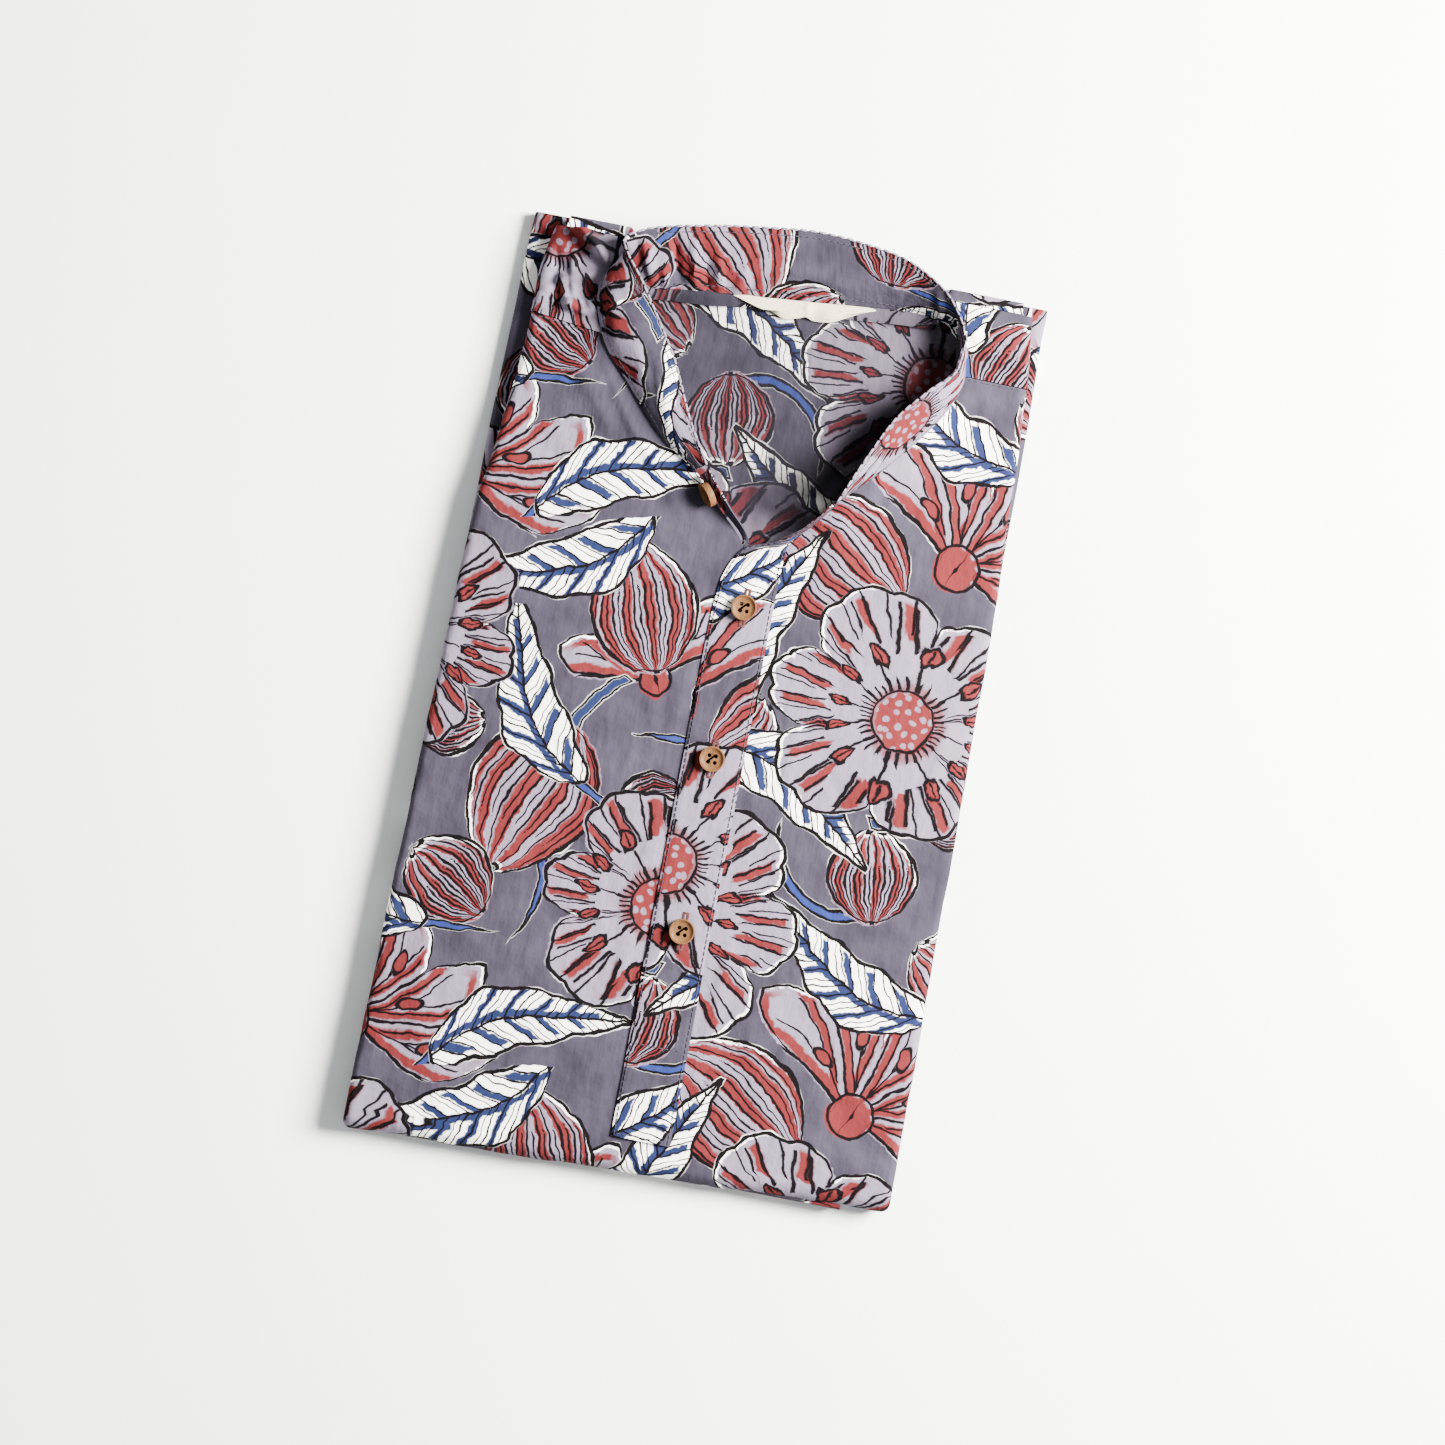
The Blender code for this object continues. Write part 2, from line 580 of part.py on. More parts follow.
def build():
    """Builds every piece, cuts the neck, and centres the bundle on the origin."""
    front_outline, back_outline = neck_outlines()
    neck = add_cutter("neck_cutter", front_outline, STACK - NECK_CUT_DEPTH, STACK + CUT_RISE)
    back_neck = add_cutter("back_neck_cutter", back_outline, STACK - BACK_CUT_DEPTH, STACK + CUT_RISE)
    foot = [(SLIT.left, SLIT.foot), (SLIT.right, SLIT.foot)]
    head = [(SLIT.right, SLIT.head), (SLIT.left, SLIT.head)]
    slit = add_cutter("slit_cutter", foot + head, STACK - NECK_CUT_DEPTH, STACK + CUT_RISE)
    front = build_front_body()
    cut(front, slit)
    cut(front, neck)
    for name, side, folds in (("yoke_left", -1, YOKE_CRUMPLE), ("yoke_right", 1, ())):
        cut(build_yoke(name, side, folds), neck)
    cut(build_back_body(), back_neck)
    build_folded_layers()
    build_ribbon("collar_band", COLLAR, rows=57, segments=4, wall=BAND_WALL, kind="print")
    build_ribbon("placket_overlap", OVERLAP, rows=24, segments=4, wall=WALL, kind="print")
    build_ribbon("placket_underlap", UNDERLAP, rows=21, segments=3, wall=WALL, kind="print")
    build_ribbon("neck_label", LABEL, rows=12, segments=2, wall=0.0008, kind="label")
    build_buttons()


def centre_on_origin():
    """Moves every object so that the bundle's box is centred in X and Y and stands on z = 0."""
    graph = bpy.context.evaluated_depsgraph_get()
    corners = []
    for piece in bpy.data.objects:
        if piece.type == "MESH" and not piece.hide_render:
            whole = piece.evaluated_get(graph)
            corners += [whole.matrix_world @ v.co for v in whole.data.vertices]
    low = Vector([min(c[k] for c in corners) for k in range(3)])
    high = Vector([max(c[k] for c in corners) for k in range(3)])
    frame = bpy.data.objects.new("kurta", None)
    bpy.context.collection.objects.link(frame)
    for piece in list(bpy.data.objects):
        if piece is not frame:
            piece.parent = frame
    frame.location = (-(low.x + high.x) / 2, -(low.y + high.y) / 2, -low.z)


for old in list(bpy.data.objects):
    bpy.data.objects.remove(old, do_unlink=True)
build()
centre_on_origin()
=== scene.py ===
"""Looks of a folded, hand-block-printed cotton kurta tunic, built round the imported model's fixed frame.

Cloth is made as thin sheets on the solids' own forms, in plan millimetres of the folded bundle: X across it,
Y toward the neck, Z up from the table. Each sheet carries a UV map in metres of cloth, which the block print
follows. Tables of stations and creases are in those millimetres too.
"""

import logging
import math
from dataclasses import dataclass, field
from enum import Enum
from typing import Callable, Mapping, Optional, Sequence, Union

import bmesh
import bpy
import numpy as np
from mathutils import Matrix, Vector


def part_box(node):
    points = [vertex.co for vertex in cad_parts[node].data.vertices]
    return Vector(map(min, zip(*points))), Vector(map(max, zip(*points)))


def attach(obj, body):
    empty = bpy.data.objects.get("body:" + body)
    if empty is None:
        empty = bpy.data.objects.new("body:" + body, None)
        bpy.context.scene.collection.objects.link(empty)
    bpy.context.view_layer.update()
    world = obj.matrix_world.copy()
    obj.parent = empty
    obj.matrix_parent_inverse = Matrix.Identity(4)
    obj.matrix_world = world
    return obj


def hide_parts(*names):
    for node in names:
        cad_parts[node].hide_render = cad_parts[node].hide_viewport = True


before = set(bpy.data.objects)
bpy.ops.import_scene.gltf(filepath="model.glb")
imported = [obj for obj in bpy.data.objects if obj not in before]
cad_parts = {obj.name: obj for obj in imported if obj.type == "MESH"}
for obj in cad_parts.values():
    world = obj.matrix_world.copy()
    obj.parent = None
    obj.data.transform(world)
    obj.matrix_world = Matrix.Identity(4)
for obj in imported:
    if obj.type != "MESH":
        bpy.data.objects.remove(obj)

MM = 0.001
ROOT = "root"
HALF_SEAM = 0.15  # half of the gap between pieces at a seam
CLOTH_MAP = "Cloth"
# Name of the vertex attribute that carries painted shade: the print finish darkens cloth toward near black by
# it
PAINTED_SHADE = "wrong_side"
log = logging.getLogger("kurta")

# A crease's two flanks as shares of its width, its height at its ends, and the share of it that it rises over
GENTLE_FLANK, STEEP_FLANK = 1.25, 0.8
CREASE_END, CREASE_FADE = 0.25, 0.3
SHARP_EDGE = math.radians(60)
DEEPEST = 1.7  # the most painted shade that a hollow adds, where 1 darkens the cloth by 0.34 of the way toward near black

Array = np.ndarray
Rows = Sequence[Sequence[float]]


class Half(Enum):
    """The two halves of the garment, one over the other, that the crosswise fold makes."""

    UPPER = 0
    LOWER = 1


def smooth(t: Array) -> Array:
    """Smoothstep of t, held between 0 and 1."""
    t = np.clip(t, 0.0, 1.0)
    return t * t * (3 - 2 * t)


def eased(keys: Array, values: Array, at: Array) -> Array:
    """Reads a table on a smooth curve that never runs past its rows.

    Args:
        keys: rising places of the rows.
        values: a value, or a row of values, for each key.
        at: places to read.

    Returns:
        The values at those places, held at the ends.
    """
    keys, values, at = np.asarray(keys, float), np.asarray(values, float), np.asarray(at, float)
    flat = values.ndim == 1
    values = values.reshape(len(keys), -1)
    span = np.diff(keys)
    steps = np.diff(values, axis=0) / span[:, None]
    slopes = np.concatenate([steps[:1], np.zeros_like(steps[1:]), steps[-1:]])
    low, high = steps[:-1], steps[1:]
    total = np.where(low * high > 0, low + high, 1.0)
    slopes[1:-1] = np.where(low * high > 0, 2 * low * high / total, 0.0)
    row = np.clip(np.searchsorted(keys, at) - 1, 0, len(keys) - 2)
    t = np.clip((at - keys[row]) / span[row], 0.0, 1.0)[..., None]
    width = span[row][..., None]
    read = (
        (2 * t**3 - 3 * t**2 + 1) * values[row] + (t**3 - 2 * t**2 + t) * width * slopes[row]
        + (3 * t**2 - 2 * t**3) * values[row + 1] + (t**3 - t**2) * width * slopes[row + 1]
    )
    return read[..., 0] if flat else read


def ripple(at: Array, length: float, phase: float) -> Array:
    """A slow unevenness between -1 and 1, of about this length, with no exact repeat."""
    turn = 2 * math.pi * at / length
    waves = ((1.0, 1.0, 1.0), (0.6, 2.17, 2.1), (0.35, 4.3, 1.0))  # height, pace and shift of each
    total = sum(height for height, _, _ in waves)
    return sum(height * np.sin(pace * turn + shift * phase) for height, pace, shift in waves) / total


@dataclass(frozen=True)
class Crease:
    """A soft ridge, or a trough where its height is below zero, drawn from one place to another."""

    x0: float
    y0: float
    x1: float
    y1: float
    width: float
    height: float
    bow: float = 0.0

    def lift(self, x: Array, y: Array) -> Array:
        """How far the crease raises the cloth at places in plan millimetres."""
        run_x, run_y = self.x1 - self.x0, self.y1 - self.y0
        length = math.hypot(run_x, run_y)
        along = ((x - self.x0) * run_x + (y - self.y0) * run_y) / length
        t = np.clip(along / length, 0.0, 1.0)
        aside = ((y - self.y0) * run_x - (x - self.x0) * run_y) / length - self.bow * np.sin(math.pi * t)
        past = np.maximum(np.maximum(-along, along - length), 0.0)
        away = np.hypot(aside, past) / (self.width * np.where(aside > 0, GENTLE_FLANK, STEEP_FLANK))
        fade = CREASE_END + (1 - CREASE_END) * smooth(t / CREASE_FADE) * smooth((1 - t) / CREASE_FADE)
        return self.height * fade * np.exp(-away * away)


def lifts(creases: Sequence[Crease], x: Array, y: Array) -> Array:
    """The sum of several creases' lifts."""
    return sum((crease.lift(x, y) for crease in creases), np.zeros_like(np.asarray(x, float)))


@dataclass(frozen=True)
class Bundle:
    """Sizes of the folded bundle in millimetres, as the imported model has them."""

    stack: float = 15.4
    fold_radius: float = 3.7
    turned_in: float = 16.0
    fold_ease: float = 70.0
    dome: float = 1.2
    shoulder_y: float = 204.6
    hem_y: float = 209.5
    cloth: float = 0.5
    back_drop: float = 2.6
    slit_x: float = 8.6

    sides: Rows = (
        (-214, -125.0, -125.0, 125.4, 125.4), (-100, -123.2, -123.2, 123.6, 123.6),
        (30, -120.6, -121.0, 121.6, 121.7), (76, -119.2, -120.4, 120.5, 120.9),
        (102, -115.6, -120.2, 119.2, 120.5), (150, -111.4, -119.6, 117.0, 119.8),
        (186, -110.0, -118.8, 113.8, 118.8), (200, -107.8, -118.4, 112.2, 118.7),
        (214, -104.6, -118.0, 110.8, 118.6),
    )
    ends: Rows = (
        (-126, -213.8, 166.2), (-62, -212.2, 158.0), (0, -210.2, 165.0), (62, -207.8, 172.0),
        (126, -205.0, 172.0),
    )
    neck_left: Rows = (
        (-260, 8.6), (58, 8.6), (72, 5.0), (79.6, 2.2), (93, -10.6), (106, -22.8), (119, -41.0), (140, -61.0),
        (158, -76.0), (169, -81.6), (178, -82.4), (188, -80.0), (196, -79.0), (215, -78.6),
    )
    neck_right: Rows = (
        (-260, 8.6), (58, 8.6), (72, 14.0), (79, 20.6), (92.4, 31.4), (104.4, 40.9), (123, 57.9), (138, 70.0),
        (154, 80.7), (170, 86.4), (184, 83.6), (194.6, 73.6), (200, 72.4), (215, 72.0),
    )
    back_neck: Rows = (
        (-84, 209.0), (-80, 206.0), (-77, 187.0), (-62, 184.6), (-40, 187.4), (-16, 189.8), (12, 192.2),
        (44, 195.6), (60, 196.4), (70, 196.6), (73, 206.0), (78, 209.0),
    )
    folds: Sequence[Crease] = (
        Crease(-84, 60, -52, -10, 28, 0.5), Crease(46, 76, 84, 40, 26, 0.4),
        Crease(-80, -90, -44, -150, 30, 0.6), Crease(60, -60, 84, -140, 28, 0.5),
    )
    lips: Sequence[Crease] = (
        Crease(26, 88, 88, 172, 14, 4.6, -5.0), Crease(28, 84, 62, 122, 12, 2.6, -3.0),
        Crease(-16, 98, -84, 172, 12, 2.6, 5.0),
    )

    @property
    def nose(self) -> float:
        """Radius of the crosswise fold."""
        return self.stack / 2

    def side(self, half: Half, right: bool, y: Array) -> Array:
        """The fold line's x on one side of one half of the bundle, with a little unevenness."""
        table = np.array(self.sides)
        column = 1 + half.value + 2 * right
        uneven = 0.35 * ripple(np.asarray(y, float), 63.0 + 11 * column, 1.3 * column)
        return eased(table[:, 0], table[:, column], y) + uneven * smooth((np.asarray(y, float) + 205) / 20)

    def bottom(self, x: Array) -> Array:
        """The y of the crosswise fold's lowest line."""
        table = np.array(self.ends)
        return eased(table[:, 0], table[:, 1], x) + 0.6 * ripple(np.asarray(x, float), 90.0, 2.0)

    def front_seam(self, x: Array) -> Array:
        """The y of the seams between the front and its yokes."""
        table = np.array(self.ends)
        return np.interp(x, table[:, 0], table[:, 2])

    def neck(self, right: bool, y: Array) -> Array:
        """The x of the neck edge on one side."""
        table = np.array(self.neck_right if right else self.neck_left)
        return eased(table[:, 0], table[:, 1], y)

    def relief(self, x: Array, y: Array) -> Array:
        """Height of the bundle's top over its plain level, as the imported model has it."""
        left, right = self.side(Half.UPPER, False, y), self.side(Half.UPPER, True, y)
        across = smooth((x - left) / 40) * smooth((right - x) / 40)
        lengthwise = smooth((y - self.bottom(x) - self.nose) / 45)
        return across * lengthwise * (self.dome + lifts(self.folds, x, y))

    def top(self, x: Array, y: Array) -> Array:
        """Height of the front, yokes and neck strips over the plain level, with their lift round the neck."""
        clear = smooth((y - 60) / 30) * smooth((206 - y) / 12)
        return self.relief(x, y) + clear * lifts(self.lips, x, y)

    def turn_in(self, share: Array, back: Array, openness: Array) -> tuple[Array, Array, Array]:
        """A place on a side fold.

        Args:
            share: how much of the turn is done, from 0 on the flat to 1.
            back: how much of the cloth that runs back in is passed, from 0 to 1.
            openness: 1 where the fold is whole, and less near the crosswise fold.

        Returns:
            How far in from the fold line the place is, how deep under the top face, and the cloth's length
            to it.
        """
        turn = math.pi * share * (0.45 + 0.55 * np.minimum(2 * openness, 1.0))
        radius = self.fold_radius
        straight = self.turned_in * back * np.maximum(2 * openness - 1, 0.0)
        inward = radius - radius * np.sin(turn) + straight
        return inward, radius - radius * np.cos(turn), radius * turn + straight


def choose(*pieces: bpy.types.Object) -> None:
    """Selects these pieces alone, and makes the first one active."""
    bpy.ops.object.select_all(action="DESELECT")
    for piece in pieces:
        piece.select_set(True)
    bpy.context.view_layer.objects.active = pieces[0]


def map_cloth(mesh: bpy.types.Mesh, cloth: Array) -> None:
    """Gives a mesh its cloth map, from each vertex's place on the cloth in millimetres."""
    corners = np.empty(len(mesh.loops), dtype=np.int32)
    mesh.loops.foreach_get("vertex_index", corners)
    layer = mesh.uv_layers.new(name=CLOTH_MAP)
    layer.uv.foreach_set("vector", (cloth[corners] * MM).astype(np.float32).ravel())


def paint_shade(mesh: bpy.types.Mesh, values: Union[float, Array]) -> None:
    """Sets the painted shade of a mesh, or of each vertex of it: how far the print finish darkens that cloth
    toward near black.
    """
    side = mesh.attributes.get(PAINTED_SHADE) or mesh.attributes.new(PAINTED_SHADE, "FLOAT", "POINT")
    side.data.foreach_set("value", np.full(len(mesh.vertices), values, dtype=np.float32))


def add_piece(name: str, mesh: bpy.types.Mesh) -> bpy.types.Object:
    """Puts a mesh into the scene as an object of this name.

    Args:
        name: the piece's name.
        mesh: its mesh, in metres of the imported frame.

    Returns:
        The new object, alone in the selection.
    """
    piece = bpy.data.objects.new(name, mesh)
    bpy.context.collection.objects.link(piece)
    choose(piece)
    return piece


def apply_modifier(piece: bpy.types.Object, kind: str, **settings: Union[float, int, str, bool]) -> None:
    """Adds a modifier of a kind with these settings and applies it."""
    bpy.context.view_layer.objects.active = piece
    modifier = piece.modifiers.new(kind.title(), kind)
    for key, value in settings.items():
        setattr(modifier, key, value)
    bpy.ops.object.modifier_apply(modifier=modifier.name)


@dataclass
class Grid:
    """Rows and columns of cloth: places in plan millimetres, and coordinates on the cloth in millimetres."""

    places: Array
    cloth: Array
    keep: Optional[Array] = None

    def faces(self, first: int) -> list[tuple[int, int, int, int]]:
        """Corner numbers of its faces, counted from a first vertex."""
        rows, columns = self.places.shape[:2]
        i, j = np.meshgrid(np.arange(rows - 1), np.arange(columns - 1), indexing="ij")
        if self.keep is not None:
            i, j = i[self.keep], j[self.keep]
        a = (first + i * columns + j).ravel()
        return list(zip(a.tolist(), (a + 1).tolist(), (a + columns + 1).tolist(), (a + columns).tolist()))


@dataclass(frozen=True)
class Tailor:
    """Makes pieces of cloth out of grids, and gives each what the frame needs to know."""

    shift: tuple[float, float]
    print_finish: bpy.types.Material

    def world(self, places: Array) -> Array:
        """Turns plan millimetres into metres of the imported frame."""
        moved = np.asarray(places, float).copy()
        moved[..., 0] += self.shift[0]
        moved[..., 1] += self.shift[1]
        return moved * MM

    def sheet(self, name: str, grids: Sequence[Grid], wall: float, middle: bool = False,
              flip: bool = False, patch: Sequence[float] = (0.0, 0.0, 0.0)) -> bpy.types.Object:
        """Sews grids into one piece of printed cloth.

        Args:
            name: the piece's name.
            grids: the grids, which are joined where their edges meet.
            wall: thickness in millimetres, grown away from the outer face.
            middle: whether the wall grows to both sides instead.
            flip: whether the faces have to be turned to face out.
            patch: where on the printed cloth the piece is cut, as x, y in millimetres and a turn in degrees.

        Returns:
            The piece, with its cloth map and finish.
        """
        places, cloth, faces = [], [], []
        for grid in grids:
            faces += grid.faces(sum(len(p) for p in places))
            places.append(self.world(grid.places).reshape(-1, 3))
            cloth.append(grid.cloth.reshape(-1, 2))
        mesh = bpy.data.meshes.new(name)
        if flip:
            faces = [face[::-1] for face in faces]
        mesh.from_pydata(np.concatenate(places).tolist(), [], faces)
        turn = math.radians(patch[2])
        spin = np.array([[math.cos(turn), -math.sin(turn)], [math.sin(turn), math.cos(turn)]])
        map_cloth(mesh, np.concatenate(cloth) @ spin.T + np.array(patch[:2]))
        work = bmesh.new()
        work.from_mesh(mesh)
        bmesh.ops.remove_doubles(work, verts=work.verts, dist=2e-6)
        loose = [v for v in work.verts if not v.link_faces]
        bmesh.ops.delete(work, geom=loose, context="VERTS")
        work.to_mesh(mesh)
        work.free()
        piece = add_piece(name, mesh)
        offset = 0.0 if middle else -1.0
        apply_modifier(piece, "SOLIDIFY", thickness=wall * MM, offset=offset, use_even_offset=False)
        # Starts the piece's painted shade at none
        paint_shade(mesh, 0.0)
        bpy.ops.object.shade_smooth_by_angle(angle=SHARP_EDGE)
        piece.data.materials.append(self.print_finish)
        return piece


def thread_bar(name: str, radius: float, length: float) -> bpy.types.Object:
    """One stitch, as a short bar with rounded ends that lies along X at the origin.

    Args:
        name: the bar's name.
        radius: its radius in millimetres.
        length: its length in millimetres.

    Returns:
        The bar, alone in the selection.
    """
    bpy.ops.object.select_all(action="DESELECT")
    along_x = (0, math.pi / 2, 0)
    bpy.ops.mesh.primitive_cylinder_add(vertices=6, radius=radius * MM, depth=length * MM, rotation=along_x)
    bar = bpy.context.object
    bar.name = name
    bpy.ops.object.transform_apply(location=False, rotation=True, scale=False)
    apply_modifier(bar, "BEVEL", width=0.55 * radius * MM, segments=1, limit_method="ANGLE",
                   angle_limit=math.radians(70))
    return bar


def joined(name: str, parts: Sequence[bpy.types.Object], finish: bpy.types.Material) -> bpy.types.Object:
    """Joins parts into one smooth piece of this name and finish."""
    choose(*parts)
    if len(parts) > 1:
        bpy.ops.object.join()
    piece = bpy.context.view_layer.objects.active
    piece.name = name
    bpy.ops.object.shade_smooth()
    piece.data.materials.clear()
    piece.data.materials.append(finish)
    return piece


def paint_hollow_shade(piece: bpy.types.Object, tailor: Tailor, plain: float, hollows: Sequence[Crease],
         below: float) -> None:
    """Paints shade into cloth that lies low or in a hollow, where real shade falls.

    Args:
        piece: the cloth.
        tailor: who knows the frame.
        plain: the painted shade of all the cloth that lies below a height.
        hollows: where the painted shade is darker, each height being how much is added.
        below: that height, in millimetres from the table.
    """
    spots = np.array([v.co for v in piece.data.vertices]) / MM - np.array([*tailor.shift, 0.0])
    deep = plain + np.clip(lifts(hollows, spots[:, 0], spots[:, 1]), 0.0, DEEPEST)
    paint_shade(piece.data, (spots[:, 2] < below) * deep)


def stand_for(piece: bpy.types.Object, node: str) -> None:
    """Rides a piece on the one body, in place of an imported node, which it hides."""
    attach(piece, ROOT)
    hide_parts(node)
    log.info("%s: %d faces, for %s", piece.name, len(piece.data.polygons), node)


# Finishes


Input = Union["Value", float, Sequence[float]]


class Value:
    """A shader socket that Python's own arithmetic works on, by adding Math nodes."""

    def __init__(self, graph: "Graph", socket: bpy.types.NodeSocket) -> None:
        """Wraps a socket of a graph."""
        self.graph = graph
        self.socket = socket

    def math(self, operation: str, *others: Input, clamp: bool = False) -> "Value":
        """A Math node on this value and others."""
        inputs = dict(enumerate((self, *others)))
        return self.graph.node("Math", {"operation": operation, "use_clamp": clamp}, inputs)

    def __add__(self, other: Input) -> "Value":
        """self + other."""
        return self.math("ADD", other)

    __radd__ = __add__

    def __sub__(self, other: Input) -> "Value":
        """self - other."""
        return self.math("SUBTRACT", other)

    def __rsub__(self, other: float) -> "Value":
        """other - self."""
        return self.math("MULTIPLY_ADD", -1.0, other)

    def __mul__(self, other: Input) -> "Value":
        """self * other."""
        return self.math("MULTIPLY", other)

    __rmul__ = __mul__

    def __truediv__(self, other: Input) -> "Value":
        """self / other."""
        return self.math("DIVIDE", other)

    def __abs__(self) -> "Value":
        """The value without its sign."""
        return self.math("ABSOLUTE")

    def at_least(self, other: Input) -> "Value":
        """The larger of this value and another."""
        return self.math("MAXIMUM", other)

    def at_most(self, other: Input) -> "Value":
        """The smaller of this value and another."""
        return self.math("MINIMUM", other)

    def sine(self) -> "Value":
        """The sine of the value."""
        return self.math("SINE")

    def under(self, edge: float, soft: float = 0.3) -> "Value":
        """1 below an edge and 0 above it, over a soft width."""
        return self.math("MULTIPLY_ADD", -1.0 / soft, edge / soft + 0.5, clamp=True)

    def over(self, edge: float, soft: float = 0.3) -> "Value":
        """1 above an edge and 0 below it, over a soft width."""
        return self.math("MULTIPLY_ADD", 1.0 / soft, 0.5 - edge / soft, clamp=True)


@dataclass
class Graph:
    """A material's node tree, with one method that adds any node."""

    tree: bpy.types.NodeTree

    def node(self, kind: str, settings: Mapping[str, object], inputs: Mapping[Union[int, str], Input],
             out: Union[int, str] = 0) -> Value:
        """Adds a node.

        Args:
            kind: the node's type, without its ShaderNode prefix.
            settings: its properties, set before its sockets are touched.
            inputs: a value or a link for each socket, by name or number.
            out: the output that is wanted.

        Returns:
            That output.
        """
        made = self.tree.nodes.new(f"ShaderNode{kind}")
        for key, value in settings.items():
            setattr(made, key, value)
        for key, value in inputs.items():
            if isinstance(value, Value):
                self.tree.links.new(value.socket, made.inputs[key])
            else:
                made.inputs[key].default_value = value
        return Value(self, made.outputs[out])

    def vector(self, operation: str, *inputs: Input, out: int = 0) -> Value:
        """A Vector Math node."""
        return self.node("VectorMath", {"operation": operation}, dict(enumerate(inputs)), out)

    def parts(self, vector: Value) -> tuple[Value, Value]:
        """The x and y of a vector."""
        x = self.node("SeparateXYZ", {}, {0: vector})
        return x, Value(self, x.socket.node.outputs[1])

    def scaled(self, vector: Value, by: float) -> Value:
        """A vector times a number."""
        return self.vector("MULTIPLY", vector, (by, by, by))

    def jitter(self, at: Value, size: float, reach: float, base: Input) -> Value:
        """A base vector moved about by noise, by up to half this reach in x and y."""
        lumps = self.noise(at, size, 2.0, 1)
        middle = self.vector("SUBTRACT", lumps, (0.5, 0.5, 0.5))
        return self.vector("MULTIPLY_ADD", middle, (reach, reach, 0.0), base)

    def tint(self, mask: Input, under: Union[Input, str], over: Union[Input, str]) -> Value:
        """Lays one colour over another where a mask is 1. A colour may be written as RRGGBB."""
        first, second = (shade(c) if isinstance(c, str) else c for c in (under, over))
        return self.node("Mix", {"data_type": "RGBA"}, {0: mask, 6: first, 7: second}, 2)

    def pick(self, mask: Input, first: Input, second: Input) -> Value:
        """The first vector where a mask is 0, and the second where it is 1."""
        return self.node("Mix", {"data_type": "VECTOR"}, {0: mask, 4: first, 5: second}, 1)

    def noise(self, at: Value, size: float, detail: float, out: int = 0) -> Value:
        """Noise whose lumps are about this many millimetres across, on a vector in millimetres."""
        inputs = {"Vector": at, "Scale": 1.0 / size, "Detail": detail}
        return self.node("TexNoise", {"noise_dimensions": "3D"}, inputs, out)

    def cover(self, colour: Value, roughness: float, specular: float,
              bump: Optional[Mapping[str, Input]] = None) -> None:
        """Sets the Principled shader's looks, with the inputs of a Bump node where there is one."""
        shader = self.tree.nodes["Principled BSDF"]
        self.tree.links.new(colour.socket, shader.inputs["Base Color"])
        shader.inputs["Roughness"].default_value = roughness
        shader.inputs["Specular IOR Level"].default_value = specular
        if bump:
            self.tree.links.new(self.node("Bump", {}, bump).socket, shader.inputs["Normal"])


def new_finish(name: str) -> tuple[bpy.types.Material, Graph]:
    """A new material, with the graph of its nodes."""
    made = bpy.data.materials.new(name)
    made.use_nodes = True
    return made, Graph(made.node_tree)


def shade(colour: str) -> tuple[float, float, float, float]:
    """A colour written as RRGGBB, as the linear values that a shader takes."""
    parts = [int(colour[k:k + 2], 16) / 255 for k in (0, 2, 4)]
    red, green, blue = (c / 12.92 if c <= 0.04045 else ((c + 0.055) / 1.055) ** 2.4 for c in parts)
    return red, green, blue, 1.0


@dataclass(frozen=True)
class Inks:
    """Colours of the cloth and of each printing block, set for this scene's strong light."""

    cloth: str = "F8F6EE"
    ground: str = "29252E"
    pale_ground: str = "3A3641"
    lilac: str = "6F6674"
    red: str = "581F20"
    blue: str = "1C2340"
    stem: str = "232D5D"
    black: str = "0A0708"


@dataclass(frozen=True)
class Stamp:
    """One print of a carved block: its place on the repeat in millimetres and its turn in degrees."""

    x: float
    y: float
    turn: float


@dataclass(frozen=True)
class Arc:
    """A stem, as part of a circle: its centre and radius, the way its middle faces, and its half spread."""

    x: float
    y: float
    radius: float
    facing: float
    spread: float


@dataclass(frozen=True)
class BudBlock:
    """A striped bud's block: its stamps, length, half width, bands to that, taper, and its stem's length."""

    stamps: Sequence[Stamp]
    length: float
    half: float
    bands: float
    taper: float
    stem: float


@dataclass(frozen=True)
class FanBlock:
    """A flower seen from its side: its stamps, reach, half spread in degrees, and its number of petals."""

    stamps: Sequence[Stamp]
    reach: float
    spread: float
    petals: int
    anthers: bool


